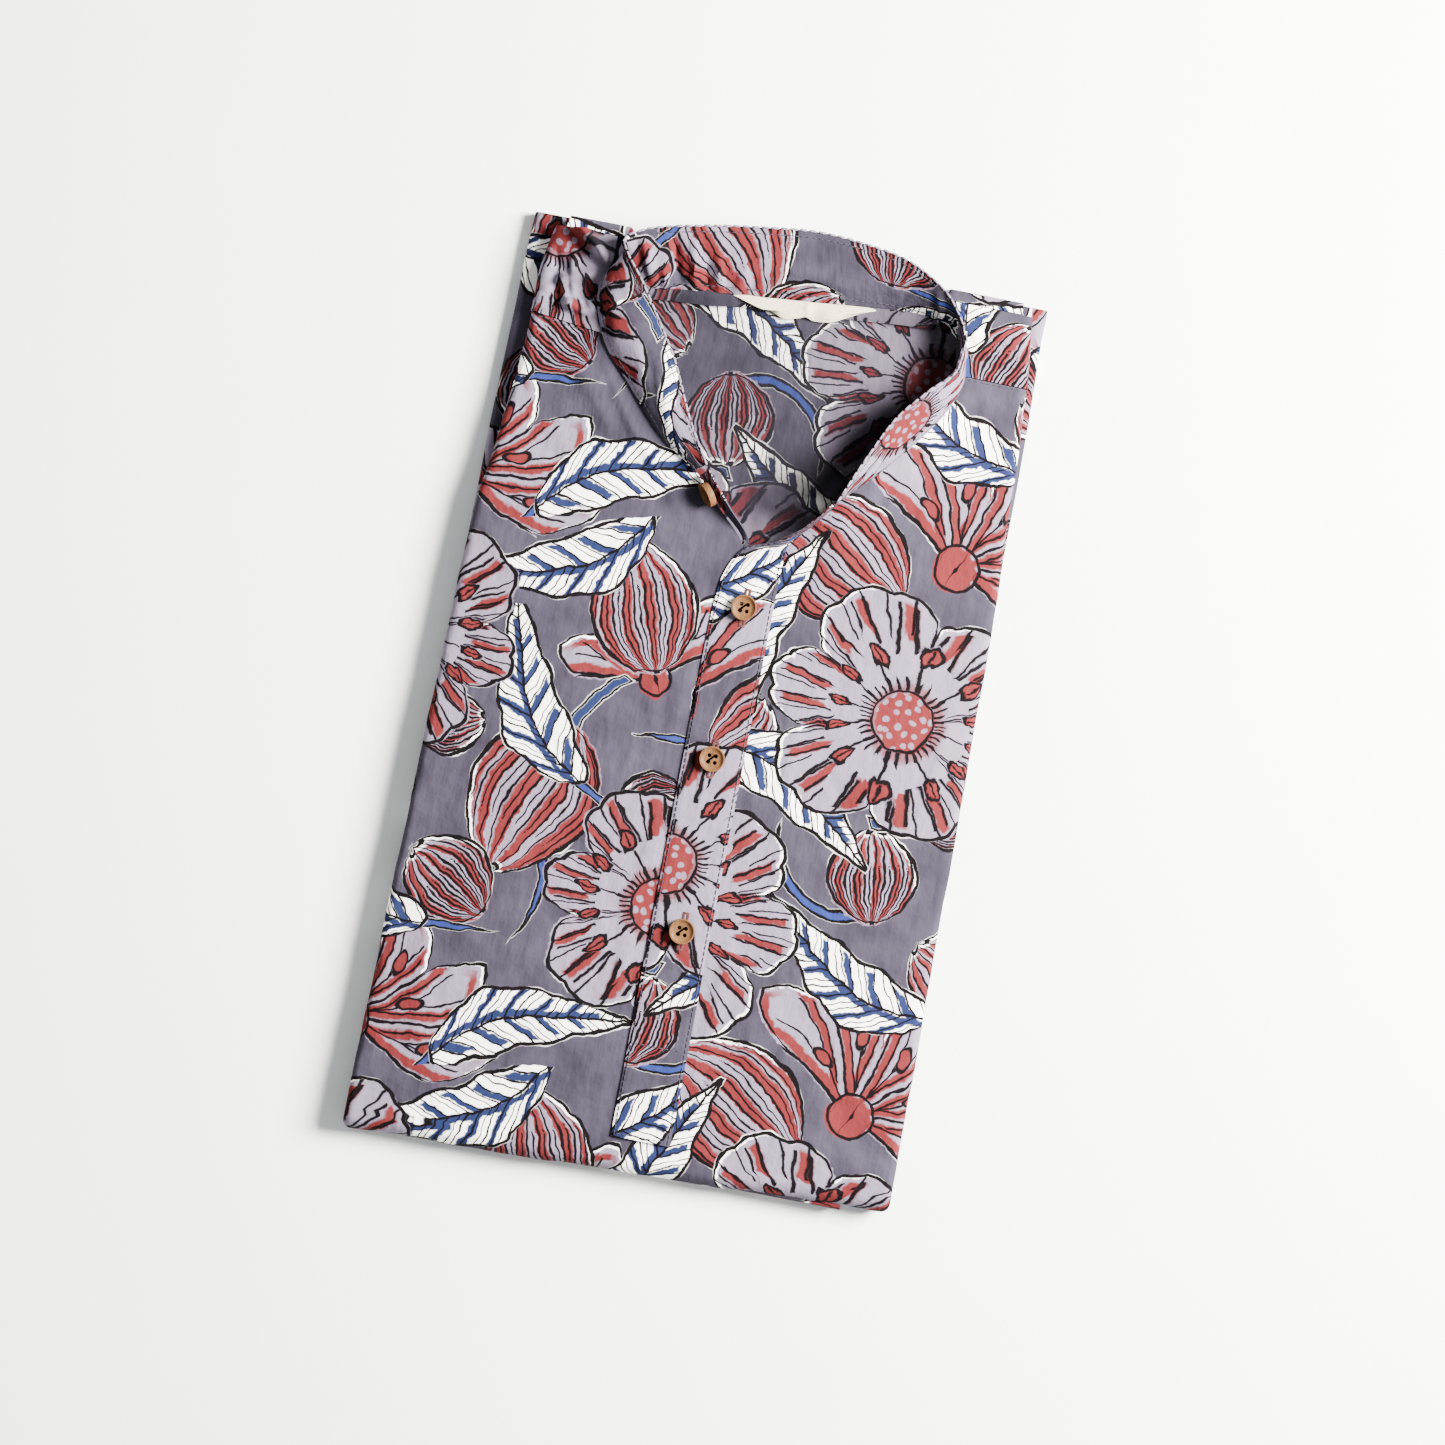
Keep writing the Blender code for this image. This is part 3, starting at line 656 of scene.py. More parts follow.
@dataclass
class BlockPrint:
    """Hand-block-printed cotton: flowers, buds and leaves on a tinted ground, a block for each colour."""

    graph: Graph = field(init=False, repr=False)
    grain: Value = field(init=False, repr=False)
    bleed: Value = field(init=False, repr=False)
    bleed_one: Value = field(init=False, repr=False)

    inks: Inks = Inks()
    repeat: tuple[float, float] = (190.0, 206.0)
    miss: tuple[float, float] = (1.1, -0.8)
    enlarged: float = 1.22

    flowers: Sequence[Stamp] = (Stamp(48, 150, 25), Stamp(122, 28, 200))
    fans: Sequence[FanBlock] = (
        FanBlock((Stamp(142, 108, 62),), 56.0, 86.0, 5, True),
        FanBlock((Stamp(22, 40, 118),), 38.0, 74.0, 4, False),
    )
    buds: Sequence[BudBlock] = (
        BudBlock((Stamp(20, 52, 112),), 50.0, 22.0, 2.3, 0.25, 0.0),
        BudBlock((Stamp(182, 180, 250), Stamp(86, 84, 150)), 62.0, 27.0, 2.1, 0.3, 24.0),
        BudBlock((Stamp(122, 176, 100), Stamp(62, 12, 60), Stamp(158, 145, 150)), 35.0, 17.0, 2.4, 0.1, 0.0),
        BudBlock((Stamp(148, 202, 20), Stamp(36, 186, 210)), 27.0, 12.0, 2.4, 0.1, 16.0),
    )
    leaves: Sequence[Stamp] = (
        Stamp(116, 140, 152), Stamp(8, 98, 20), Stamp(66, 56, 74), Stamp(176, 62, 206), Stamp(88, 200, -28),
        Stamp(176, 14, 118),
    )
    stems: Sequence[Arc] = (
        Arc(112, 186, 27, 250, 75), Arc(70, 24, 24, 200, 80), Arc(150, 150, 42, 10, 42),
        Arc(36, 96, 34, 60, 60),
    )
    leaf_length: float = 78.0
    leaf_slimness: float = 0.4
    vein_gap: float = 12.0
    eye: float = 11.4
    weave: tuple[float, float] = (0.42, 0.46)

    def finish(self) -> bpy.types.Material:
        """Builds the material.

        Returns:
            A Principled material whose colours follow the cloth map in metres.
        """
        made, graph = new_finish("block_printed_cotton")
        cloth = graph.scaled(graph.node("UVMap", {"uv_map": CLOTH_MAP}, {}), 1000.0)
        at = graph.jitter(cloth, 9.0, 3.4, graph.scaled(cloth, 1 / self.enlarged))
        self.graph, self.grain = graph, graph.noise(cloth, 0.9, 3.0)
        self.bleed = graph.jitter(cloth, 2.6, 1.8, (self.miss[0], self.miss[1], 0.0))
        self.bleed_one = graph.noise(cloth, 17.0, 1.0) - 0.5
        pool = graph.noise(cloth, 24.0, 3.0)
        slub = graph.noise(graph.vector("MULTIPLY", cloth, (1.0, 0.05, 1.0)), 0.6, 2.0)
        brushed = graph.noise(graph.vector("MULTIPLY", cloth, (1.0, 0.35, 1.0)), 6.0, 2.0)
        mottle = (pool + (brushed - 0.5) * 0.3).over(0.5, 0.44)
        colour = graph.tint(mottle, self.inks.ground, self.inks.pale_ground)
        colour = self.draw_stems(colour, at)
        for fan in self.fans:
            colour = self.draw_fan(colour, at, fan)
        for bud in self.buds:
            colour = self.draw_bud(colour, at, bud)
        colour = self.draw_leaves(colour, at)
        colour = self.draw_flowers(colour, at)
        colour = graph.tint(slub.over(0.62, 0.25) * 0.03, colour, "443E49")
        colour = graph.tint(slub.under(0.38, 0.25) * 0.05, colour, "1B181E")
        # Painted shade: darkens the cloth toward near black by the painted shade attribute, in hollows and
        # recesses where shade falls
        wrong = graph.node("Attribute", {"attribute_name": PAINTED_SHADE}, {}, 2)
        colour = graph.tint((wrong * 0.34).at_most(0.93), colour, "131116")
        x, y = graph.parts(cloth)
        warp, weft = ((way * (2 * math.pi / pitch)).sine() for way, pitch in zip((x, y), self.weave))
        weave = warp * weft
        pleats = graph.noise(graph.vector("MULTIPLY", cloth, (1.0, 0.22, 1.0)), 5.5, 2.0)
        height = weave * 0.03 + slub * 0.12 + pleats * 1.3 + graph.noise(cloth, 15.0, 4.0) * 3.4
        graph.cover(colour, 0.9, 0.04, {"Strength": 0.5, "Distance": MM, "Height": height})
        return made

    def wrapped(self, at: Value, x: float, y: float) -> Value:
        """Coordinates from the nearest copy of a place on the repeat."""
        wide, high = self.repeat
        top = (x + wide / 2, y + high / 2, 1.0)
        low = (x - wide / 2, y - high / 2, -1.0)
        return self.graph.vector("SUBTRACT", self.graph.vector("WRAP", at, top, low), (x, y, 0.0))

    def nearest(self, at: Value, stamps: Sequence[Stamp], slim: float = 1.0) -> Value:
        """Coordinates on the nearest of several stamps, in that stamp's own turn.

        Args:
            at: places on the repeat.
            stamps: the stamps.
            slim: the block's width as a share of its length, so that long blocks don't cut each other short.

        Returns:
            Millimetres from the stamp's middle, along the block and across it.
        """
        chosen, least = None, None
        for stamp in stamps:
            local = self.graph.node("VectorRotate", {"rotation_type": "Z_AXIS"}, {
                "Vector": self.wrapped(at, stamp.x, stamp.y), "Angle": math.radians(-stamp.turn)})
            squeezed = self.graph.vector("MULTIPLY", local, (slim, 1.0, 1.0))
            far = self.graph.vector("LENGTH", squeezed, out=1)
            if chosen is None:
                chosen, least = local, far
            else:
                chosen = self.graph.pick(far.math("LESS_THAN", least), chosen, local)
                least = least.at_most(far)
        return chosen

    def line(self, distance: Value, half: float) -> Value:
        """A printed black line where a distance is under half its width, a little broken by the grain."""
        return (distance + (self.grain - 0.5) * 0.3).under(half * 1.2, 0.28)

    def spoke(self, angle: Value, radius: Value, count: float, phase: float) -> Value:
        """Distance aside from the nearest of a number of spokes."""
        return abs((angle * (count / 2) + phase).sine()) * radius * (2.0 / count)

    def lay(self, under: Value, shape: Value, tinted: Value, ink: str) -> Value:
        """Clears the ground round a shape and fills it with one ink, a little out of place."""
        bare = self.graph.tint((shape + self.bleed_one * 2.2).under(0.6, 0.5), under, self.inks.cloth)
        return self.graph.tint(tinted.under(-0.2, 0.6), bare, ink)

    def draw_flowers(self, under: Value, at: Value) -> Value:
        """Open flowers: a dotted red eye in short strokes, stamens, and petals with red bars."""
        graph, inks = self.graph, self.inks
        local = self.nearest(at, self.flowers)
        moved = graph.vector("ADD", local, self.bleed)

        def polar(place: Value) -> tuple[Value, Value, Value]:
            x, y = graph.parts(place)
            radius, angle = graph.vector("LENGTH", place, out=1), y.math("ARCTAN2", x)
            warped = angle + (angle * 2.0 + 1.0).sine() * 0.22
            lobe = abs((warped * 3.0).sine()).math("POWER", 0.5)
            scallop = abs((warped * 9.0 + 0.7).sine()) * 1.8
            reach = lobe * 16.0 + (angle + 0.9).math("COSINE") * 3.6 + scallop + 31.0
            return radius, warped, radius - reach

        radius, angle, edge = polar(local)
        tinted_radius, tinted_angle, tinted_edge = polar(moved)
        colour = self.lay(under, edge, tinted_edge, inks.lilac)
        rays = graph.noise(graph.vector("NORMALIZE", local), 0.16, 1.0)
        bars = self.spoke(tinted_angle, tinted_radius, 20, 0.2).under(1.8, 0.8)
        bars = bars * (tinted_edge + rays * 32.0).over(-2.0, 1.4)
        bars = bars * tinted_edge.under(-2.6, 1.2) * tinted_radius.over(26.0)
        colour = graph.tint(bars, colour, inks.red)
        wide = self.spoke(tinted_angle, tinted_radius, 12, 0.0) / 2.3
        along = (tinted_radius + rays * 9.0 - 31.0) / 4.0
        anther = (wide * wide + along * along).math("SQRT")
        eye = tinted_radius.under(self.eye, 0.8)
        scatter = {"Vector": local, "Scale": 0.24, "Randomness": 0.6}
        dots = graph.node("TexVoronoi", {"voronoi_dimensions": "2D"}, scatter).over(0.28, 0.08)
        colour = graph.tint(anther.under(1.0, 0.3), colour, inks.red)
        colour = graph.tint((tinted_radius + rays * 4.0).under(16.5, 2.0) * 0.7, colour, inks.red)
        colour = graph.tint(eye, colour, inks.red)
        colour = graph.tint(eye * (1 - dots) * 0.8, colour, inks.lilac)
        strokes = self.line(self.spoke(angle, radius, 36, 0.6), 0.40)
        strokes = strokes * (radius + rays * 10.0).under(21.0, 0.4) * radius.over(11.8)
        threads = self.line(self.spoke(angle, radius, 12, 0.0), 0.38)
        threads = threads * radius.over(11.8) * (radius + rays * 9.0).under(27.5)
        heads = self.line(abs(anther - 1.0) * 2.4, 0.42)
        heads = heads.at_least(self.line(wide * 2.3, 0.3) * anther.under(0.8))
        folds = self.line(self.spoke(angle, radius, 6, 0.0), 0.48) * radius.over(23.0) * edge.under(0.0)
        veins = self.line(abs(self.spoke(angle, radius, 20, 0.2) - 1.95), 0.38)
        veins = veins * (edge + rays * 40.0).over(-1.0) * edge.under(-3.0) * radius.over(25.0)
        fine = self.line(self.spoke(angle, radius, 40, 1.1), 0.34)
        veins = veins.at_least(fine * (edge + rays * 34.0).over(1.5) * edge.under(-0.6))
        outline = self.line(abs(edge), 0.66).at_least(self.line(abs(radius - self.eye), 0.42))
        drawn = veins.at_least(folds) * anther.over(1.2)
        drawn = drawn.at_least(heads).at_least(threads)
        return graph.tint(drawn.at_least(strokes).at_least(outline), colour, inks.black)

    def draw_fan(self, under: Value, at: Value, block: FanBlock) -> Value:
        """Flowers seen from the side: petals that fan out from a knot, with red bands inside their edges."""
        graph, inks = self.graph, self.inks
        local = graph.vector("ADD", self.nearest(at, block.stamps), (block.reach * 0.42, 0.0, 0.0))
        moved = graph.vector("ADD", local, self.bleed)
        spread = math.radians(block.spread)

        def petals(place: Value) -> tuple[Value, Value, Value, Value]:
            x, y = graph.parts(place)
            radius, angle = graph.vector("LENGTH", place, out=1), y.math("ARCTAN2", x)
            bent = angle + (radius * 0.07).sine() * 0.10
            turns = (bent + spread) * (block.petals / (2 * spread))
            share = turns.math("PINGPONG", 0.5) * 2.0
            lobe = share.at_most(1.0).math("POWER", 0.55) * 0.36
            tip = lobe + (turns * 1.9).sine() * 0.09 + 0.60
            edge = (radius - tip * block.reach).at_least((abs(bent) - spread) * radius)
            aside = share * radius * (spread / block.petals)
            return radius, edge, aside, turns

        knot = block.reach * 0.15
        radius, edge, aside, turns = petals(local)
        tinted_radius, tinted_edge, tinted_aside, _ = petals(moved)
        colour = self.lay(under, edge, tinted_edge, inks.lilac)
        band = abs(tinted_aside - 2.6 - tinted_radius * 0.035).under(1.7, 0.9) * tinted_edge.under(-1.0, 0.8)
        rim = abs(tinted_edge + 3.6).under(1.5, 0.9) * turns.math("PINGPONG", 1.0).over(0.45, 0.2)
        colour = graph.tint(band.at_least(rim), colour, inks.red)
        colour = graph.tint((tinted_radius - knot).under(0.0, 1.0), colour, inks.red)
        inner = abs(abs(aside - 4.0 - radius * 0.045) - 1.6)
        lines = self.line(aside, 0.5).at_least(self.line(inner, 0.36) * edge.under(-5.0))
        lines = (lines * edge.under(0.0)).at_least(self.line(abs(edge), 0.64)) * radius.over(knot)
        ridges = self.line(self.spoke(graph.parts(local)[1], radius, 0.9, 0.0), 0.42)
        ridges = ridges * radius.under(knot)
        lines = lines.at_least(self.line(abs(radius - knot), 0.5)).at_least(ridges)
        if block.anthers:
            middle = radius * (spread / block.petals) - aside
            along = (radius - block.reach * 0.5 - (turns * 2.6).sine() * 5.0) / 4.2
            anther = (middle * middle * 0.2 + along * along).math("SQRT")
            inside = edge.under(-1.5)
            colour = graph.tint(anther.under(0.95, 0.3) * inside, colour, inks.red)
            heads = self.line(abs(anther - 1.0) * 2.4, 0.42)
            thread = self.line(middle, 0.34) * along.under(-1.0) * radius.over(knot)
            lines = (lines * anther.over(1.1)).at_least(heads.at_least(thread) * inside)
        return graph.tint(lines, colour, inks.black)

    def draw_bud(self, under: Value, at: Value, block: BudBlock) -> Value:
        """Closed buds, with red stripes that meet at both ends, and a blue stem where they have one."""
        graph, inks = self.graph, self.inks
        local = self.nearest(at, block.stamps)
        moved = graph.vector("ADD", local, self.bleed)

        def cup(place: Value) -> tuple[Value, Value]:
            x, y = graph.parts(place)
            share = (x / block.length + 0.5).at_most(1.0).at_least(0.0)
            swell = (share * math.pi).sine().math("POWER", 0.6)
            half = swell * (1 - share * block.taper) * block.half + 0.3
            across = y / half
            notch = abs((across * 3.4 + 0.5).sine()) * block.half * 0.12
            tip = abs(x) + notch * x.over(0.0, 8.0) - block.length / 2
            return across + (x * 0.11).sine() * 0.05, (abs(y) - half).at_least(tip)

        across, shape = cup(local)
        tinted_across, tinted = cup(moved)
        colour = under
        x, y = graph.parts(local)
        if block.stem:
            past = x + block.length / 2
            stem = abs(y - past * past * 0.012).at_least((abs(past + block.stem / 2) - block.stem / 2))
            colour = graph.tint(stem.under(2.6, 0.5), colour, inks.cloth)
            colour = graph.tint(stem.under(1.6, 0.6), colour, inks.blue)
            colour = graph.tint(self.line(abs(stem - 2.0), 0.4), colour, inks.black)
        colour = self.lay(colour, shape, tinted, inks.lilac)
        wobble = graph.noise(local, 20.0, 0.0) * 0.24
        stripes = (tinted_across * block.bands + wobble).math("FRACT").over(0.5, 0.12)
        stripes = stripes.at_least(abs(tinted_across).over(0.87, 0.04)) * tinted.under(-0.6, 0.8)
        colour = graph.tint(stripes, colour, inks.red)
        ribs = (across * block.bands + wobble).math("PINGPONG", 0.5)
        unit = block.half / block.bands
        lines = self.line((0.5 - ribs) * unit, 0.48).at_least(self.line(ribs * unit, 0.48))
        middles = self.line(abs(ribs - 0.25) * unit, 0.34) * (x + self.grain * 14.0).under(block.length * 0.3)
        lines = lines.at_least(middles) * shape.under(-0.3)
        return graph.tint(lines.at_least(self.line(abs(shape), 0.62)), colour, inks.black)

    def draw_leaves(self, under: Value, at: Value) -> Value:
        """White leaves on short stems, with a blue rib and blue side veins."""
        graph, inks = self.graph, self.inks
        local = self.nearest(at, self.leaves, self.leaf_slimness)
        moved = graph.vector("ADD", local, self.bleed)

        def blade(place: Value) -> tuple[Value, Value, Value]:
            x, y = graph.parts(place)
            rib = y + x * x * 0.006 - 3.0 + (x * 0.09).sine() * 1.6
            share = (x / self.leaf_length + 0.5).at_most(1.0).at_least(0.0)
            swell = (share.math("POWER", 0.72) * math.pi).sine().math("POWER", 0.92)
            half = swell * (13.4 - share * 4.6)
            half = half * ((x * 0.32).sine() * 0.08 + 1.0)
            return x, rib, (abs(rib) - half).at_least(abs(x) - 38.0)

        x, rib, shape = blade(local)
        tinted_x, tinted_rib, tinted = blade(moved)
        stem = (abs(rib) + (x * -1.0 - 48.0).at_least(0.0) * 0.16).at_least(x + 31.0)
        colour = graph.tint(stem.under(2.1, 0.5), under, inks.cloth)
        colour = graph.tint(stem.under(1.4, 0.6), colour, inks.stem)
        colour = graph.tint(self.line(abs(stem - 1.6), 0.46), colour, inks.black)
        colour = graph.tint((shape + self.bleed_one * 2.2).under(0.6, 0.5), colour, inks.cloth)
        slant = ((tinted_x - abs(tinted_rib) * 1.05) / self.vein_gap).math("FRACT") * self.vein_gap
        veins = abs(slant - 3.6 - abs(tinted_rib) * 0.05).under(2.0, 0.8)
        ribs = abs(tinted_rib - 0.6).under(1.35, 0.6)
        blue = veins.at_least(ribs) * tinted.under(-0.8, 0.8) * (tinted_x * -1.0).over(-28.0, 2.0)
        colour = graph.tint(blue, colour, inks.blue)
        slant = ((x - abs(rib) * 1.05) / self.vein_gap).math("FRACT") * self.vein_gap
        sides, between = self.line(abs(abs(slant - 4.2) - 2.2), 0.38), self.line(abs(slant - 9.4), 0.30)
        lines = sides.at_least(between).at_least(self.line(abs(rib), 0.42)) * shape.under(0.0)
        return graph.tint(lines.at_least(self.line(abs(shape), 0.62)), colour, inks.black)

    def draw_stems(self, under: Value, at: Value) -> Value:
        """Curling blue stems between the motifs."""
        graph, inks = self.graph, self.inks
        nearest = None
        for stem in self.stems:
            place = self.wrapped(at, stem.x, stem.y)
            aside = abs(graph.vector("LENGTH", place, out=1) - stem.radius)
            facing = math.radians(stem.facing)
            reach = graph.vector("DOT_PRODUCT", place, (math.cos(facing), math.sin(facing), 0.0), out=1)
            past = stem.radius * math.cos(math.radians(stem.spread)) + 12.0 - reach
            distance = aside + past.at_least(0.0) * 0.16
            nearest = distance if nearest is None else nearest.at_most(distance)
        colour = graph.tint(nearest.under(2.1, 0.5), under, inks.cloth)
        colour = graph.tint((nearest + (self.grain - 0.5) * 0.8).under(1.5, 0.6), colour, inks.stem)
        return graph.tint(self.line(abs(nearest - 1.6), 0.46), colour, inks.black)


@dataclass(frozen=True)
class PlainFinish:
    """A small finish of one colour, with grain in its colour and its relief."""

    name: str
    light: str
    dark: str
    roughness: float
    grain: tuple[float, float, float]
    depth: float

    def finish(self) -> bpy.types.Material:
        """Builds the material on Object coordinates."""
        made, graph = new_finish(self.name)
        place = graph.node("TexCoord", {}, {}, "Object")
        stretch = tuple(1.0 / (size * MM) for size in self.grain)
        grain = graph.noise(graph.vector("MULTIPLY", place, stretch), 1.0, 3.0)
        colour = graph.tint(grain.over(0.5, 0.45), self.light, self.dark)
        bump = {"Strength": 0.6, "Distance": self.depth * MM, "Height": grain}
        graph.cover(colour, self.roughness, 0.08, bump)
        return made


WOOD = PlainFinish("pale_button_wood", "644326", "48311F", 0.5, (0.5, 3.2, 3.2), 0.10)
TAPE = PlainFinish("cream_label_tape", "C9C0A8", "A99C80", 0.8, (2.0, 0.4, 0.4), 0.05)
THREAD = PlainFinish("sewing_thread", "3B3741", "2A272E", 0.8, (0.3, 0.3, 0.3), 0.05)
CORD = PlainFinish("pale_edge_cord", "8E8492", "4A444F", 0.9, (1.2, 1.2, 1.2), 0.1)
PINK_THREAD = PlainFinish("buttonhole_thread", "553230", "392324", 0.8, (0.3, 0.3, 0.3), 0.05)


# Pieces


@dataclass(frozen=True)
class FrontBody:
    """The front panel: over the top from the yokes, round the crosswise fold, and under to the hem."""

    bundle: Bundle
    top_rows: int = 150
    nose_rows: int = 14
    under_rows: int = 36
    flat_columns: int = 56
    turn_columns: int = 9
    back_columns: int = 4
    patch: tuple[float, float, float] = (60.0, 20.0, 0.0)
    # Sizes of the panel: the width, the lengths above and below the middle, and the length under
    seen_width: float = 250.0
    seen_lengths: tuple[float, float] = (166.0, 203.0)
    under_length: float = 412.0
    creases: Sequence[Crease] = (
        Crease(-96, 150, -62, 112, 4.0, 1.1, 3.0), Crease(-112, 124, -74, 96, 6.0, -0.9, -4.0),
        Crease(-74, 150, -40, 104, 3.0, 0.8, -3.0), Crease(-50, 112, -26, 84, 3.2, 0.8, 2.0),
        Crease(62, 122, 58, 101, 2.2, -2.0, 0.8), Crease(67, 131, 78, 116, 3.0, 0.9),
        Crease(98, 158, 82, 116, 5.0, 0.9, 3.0), Crease(108, 168, 92, 150, 3.4, -0.8, 2.0),
        Crease(28, 72, 94, 62, 7.0, 0.9, 6.0), Crease(24, 58, 48, 34, 3.0, 0.6, -2.0),
        Crease(-110, 24, -26, 38, 8.0, 0.9, 5.0), Crease(-116, -60, -58, -46, 6.0, -0.9, -3.0),
        Crease(-12, 66, -14, -26, 3.6, 0.7, 1.6), Crease(-11, -40, -15, -150, 3.4, 0.6, -1.6),
        Crease(29, 20, 31, -70, 3.4, 0.7, -1.4), Crease(30, -84, 28, -160, 3.4, 0.6, 1.2),
        Crease(34, -28, 106, -54, 8.0, -1.0, 7.0), Crease(113, 44, 104, -24, 5.0, 0.9, 2.0),
        Crease(-106, -104, -94, -180, 5.0, 0.9, -3.0), Crease(-64, -148, -12, -168, 7.0, 1.0, 5.0),
        Crease(36, -118, 62, -188, 6.0, 0.9, 4.0), Crease(86, -148, 118, -186, 6.0, -0.9, -4.0),
        Crease(-34, 62, -20, -40, 7.0, 0.6, 3.0), Crease(42, 12, 48, -64, 5.0, 0.6, -3.0),
        Crease(-118, 70, -88, 44, 4.0, 0.8, -2.0), Crease(-90, -8, -70, -84, 5.0, 0.6, 4.0),
        Crease(70, -70, 116, -84, 5.0, 0.8, 3.0), Crease(58, -8, 70, -40, 4.0, -0.7, 2.0),
        Crease(52, 108, 68, 90, 3.0, 1.1, 1.0), Crease(76, 142, 100, 130, 4.0, 1.2, 2.0),
        Crease(86, 160, 108, 146, 3.0, -0.9), Crease(40, 96, 50, 76, 3.0, 0.9, -1.0),
        Crease(-30, 96, -46, 74, 3.4, 0.9, 1.0), Crease(-66, 140, -88, 130, 3.0, 1.0),
        Crease(-78, 158, -100, 152, 2.4, -1.0), Crease(4, -160, 16, -198, 5.0, 0.5, 2.0),
        Crease(-40, -178, -30, -204, 4.0, 0.7, 1.0), Crease(70, -180, 74, -204, 4.0, 0.7, -1.0),
        Crease(-90, -186, -76, -206, 4.0, 0.6, 1.0),
    )

    def rise(self, x: Array, y: Array) -> Array:
        """Height of the cloth over the plain level of the top."""
        b = self.bundle
        edge = np.minimum(x - b.side(Half.UPPER, False, y), b.side(Half.UPPER, True, y) - x)
        inside = smooth(edge / 14) * smooth((y - b.bottom(x) - b.nose) / 16)
        return b.top(x, y) + inside * lifts(self.creases, x, y)

    def flank(self, right: bool) -> Grid:
        """One side of the panel, from the cloth that runs back in behind the fold to the slit or neck."""
        b = self.bundle
        sign = 1 if right else -1
        turning = np.linspace(1, 0, self.turn_columns, endpoint=False)
        running_back = np.linspace(1, 0, self.back_columns, endpoint=False)
        turn = np.concatenate([np.ones(self.back_columns), turning])
        back = np.concatenate([running_back, np.zeros(self.turn_columns)])
        flat = np.linspace(0, 1, self.flat_columns + 1)
        columns = len(turn) + len(flat)
        turn = np.concatenate([turn, np.zeros(len(flat))])
        back = np.concatenate([back, np.zeros(len(flat))])
        across = np.concatenate([np.zeros(columns - len(flat)), flat])
        folded = np.arange(columns) < columns - len(flat)
        rows, cloth = [], []
        flat_start = float(b.bottom(0.0)) + b.nose
        nose_length = math.pi * b.nose

        def row(half: Half, put: Callable[[Array], tuple[Array, Array, Array, Array]],
                length: Callable[[Array], Array], openness_at: Optional[float]) -> None:
            base = np.full(columns, sign * 60.0)
            for _ in range(4):
                y = put(base)[0]
                side = b.side(half, right, y)
                inner = b.neck(right, y) if half is Half.UPPER else np.full(columns, b.slit_x)
                flat_x = side - sign * b.fold_radius + across * (inner - side + sign * b.fold_radius)
                base = np.where(folded, side, flat_x)
            openness = smooth((y - flat_start) / b.fold_ease)
            if openness_at is not None:
                openness = np.full(columns, openness_at)
            inward, depth, arc = b.turn_in(turn, back, openness)
            x = np.where(folded, side - sign * inward, flat_x)
            y, z, normal_y, normal_z = put(base)
            rise = self.rise(base, y) if half is Half.UPPER and openness_at is None else np.zeros(columns)
            rows.append(np.stack([x, y + normal_y * depth, z + normal_z * depth + rise], axis=1))
            across_cloth = np.where(folded, side - sign * b.fold_radius + sign * arc, flat_x)
            cloth.append(np.stack([across_cloth, length(y)], axis=1))

        for share in (np.arange(self.top_rows) / self.top_rows) ** 0.97:
            def on_top(base: Array, share: float = share) -> tuple[Array, Array, Array, Array]:
                start, end = b.front_seam(base) - HALF_SEAM, b.bottom(base) + b.nose
                y = start + (end - start) * share
                return y, np.full(columns, b.stack), np.zeros(columns), -np.ones(columns)
            row(Half.UPPER, on_top, lambda y: y, None)
        for angle in np.linspace(0, math.pi, self.nose_rows + 1):
            def on_nose(base: Array, angle: float = angle) -> tuple[Array, Array, Array, Array]:
                centre = b.bottom(base) + b.nose
                y, z = centre - b.nose * math.sin(angle), np.full(columns, b.nose * (1 + math.cos(angle)))
                return y, z, np.full(columns, math.sin(angle)), np.full(columns, -math.cos(angle))
            half = Half.UPPER if angle < math.pi / 2 else Half.LOWER
            arc = b.nose * angle
            row(half, on_nose, lambda y, arc=arc: np.full(columns, flat_start - arc), 0.0)
        for share in (np.arange(1, self.under_rows + 1) / self.under_rows) ** 1.2:
            def on_underside(base: Array, share: float = share) -> tuple[Array, Array, Array, Array]:
                start = b.bottom(base) + b.nose
                y = start + (b.hem_y - start) * share
                return y, np.zeros(columns), np.zeros(columns), np.ones(columns)
            row(Half.LOWER, on_underside, lambda y: 2 * flat_start - nose_length - y, None)
        return Grid(np.array(rows), np.array(cloth))

    def build(self, tailor: Tailor) -> bpy.types.Object:
        """Makes the panel and sets it in place of its imported node."""
        b = self.bundle
        left, right = turned_over(self.flank(False)), self.flank(True)
        piece = tailor.sheet("front_panel", [left, right], b.cloth, patch=self.patch)
        stand_for(piece, "front_body")
        return piece


def turned_over(grid: Grid) -> Grid:
    """Turns a grid's columns round, so that its faces look the same way as those of the other side."""
    return Grid(grid.places[:, ::-1], grid.cloth[:, ::-1], None if grid.keep is None else grid.keep[:, ::-1])


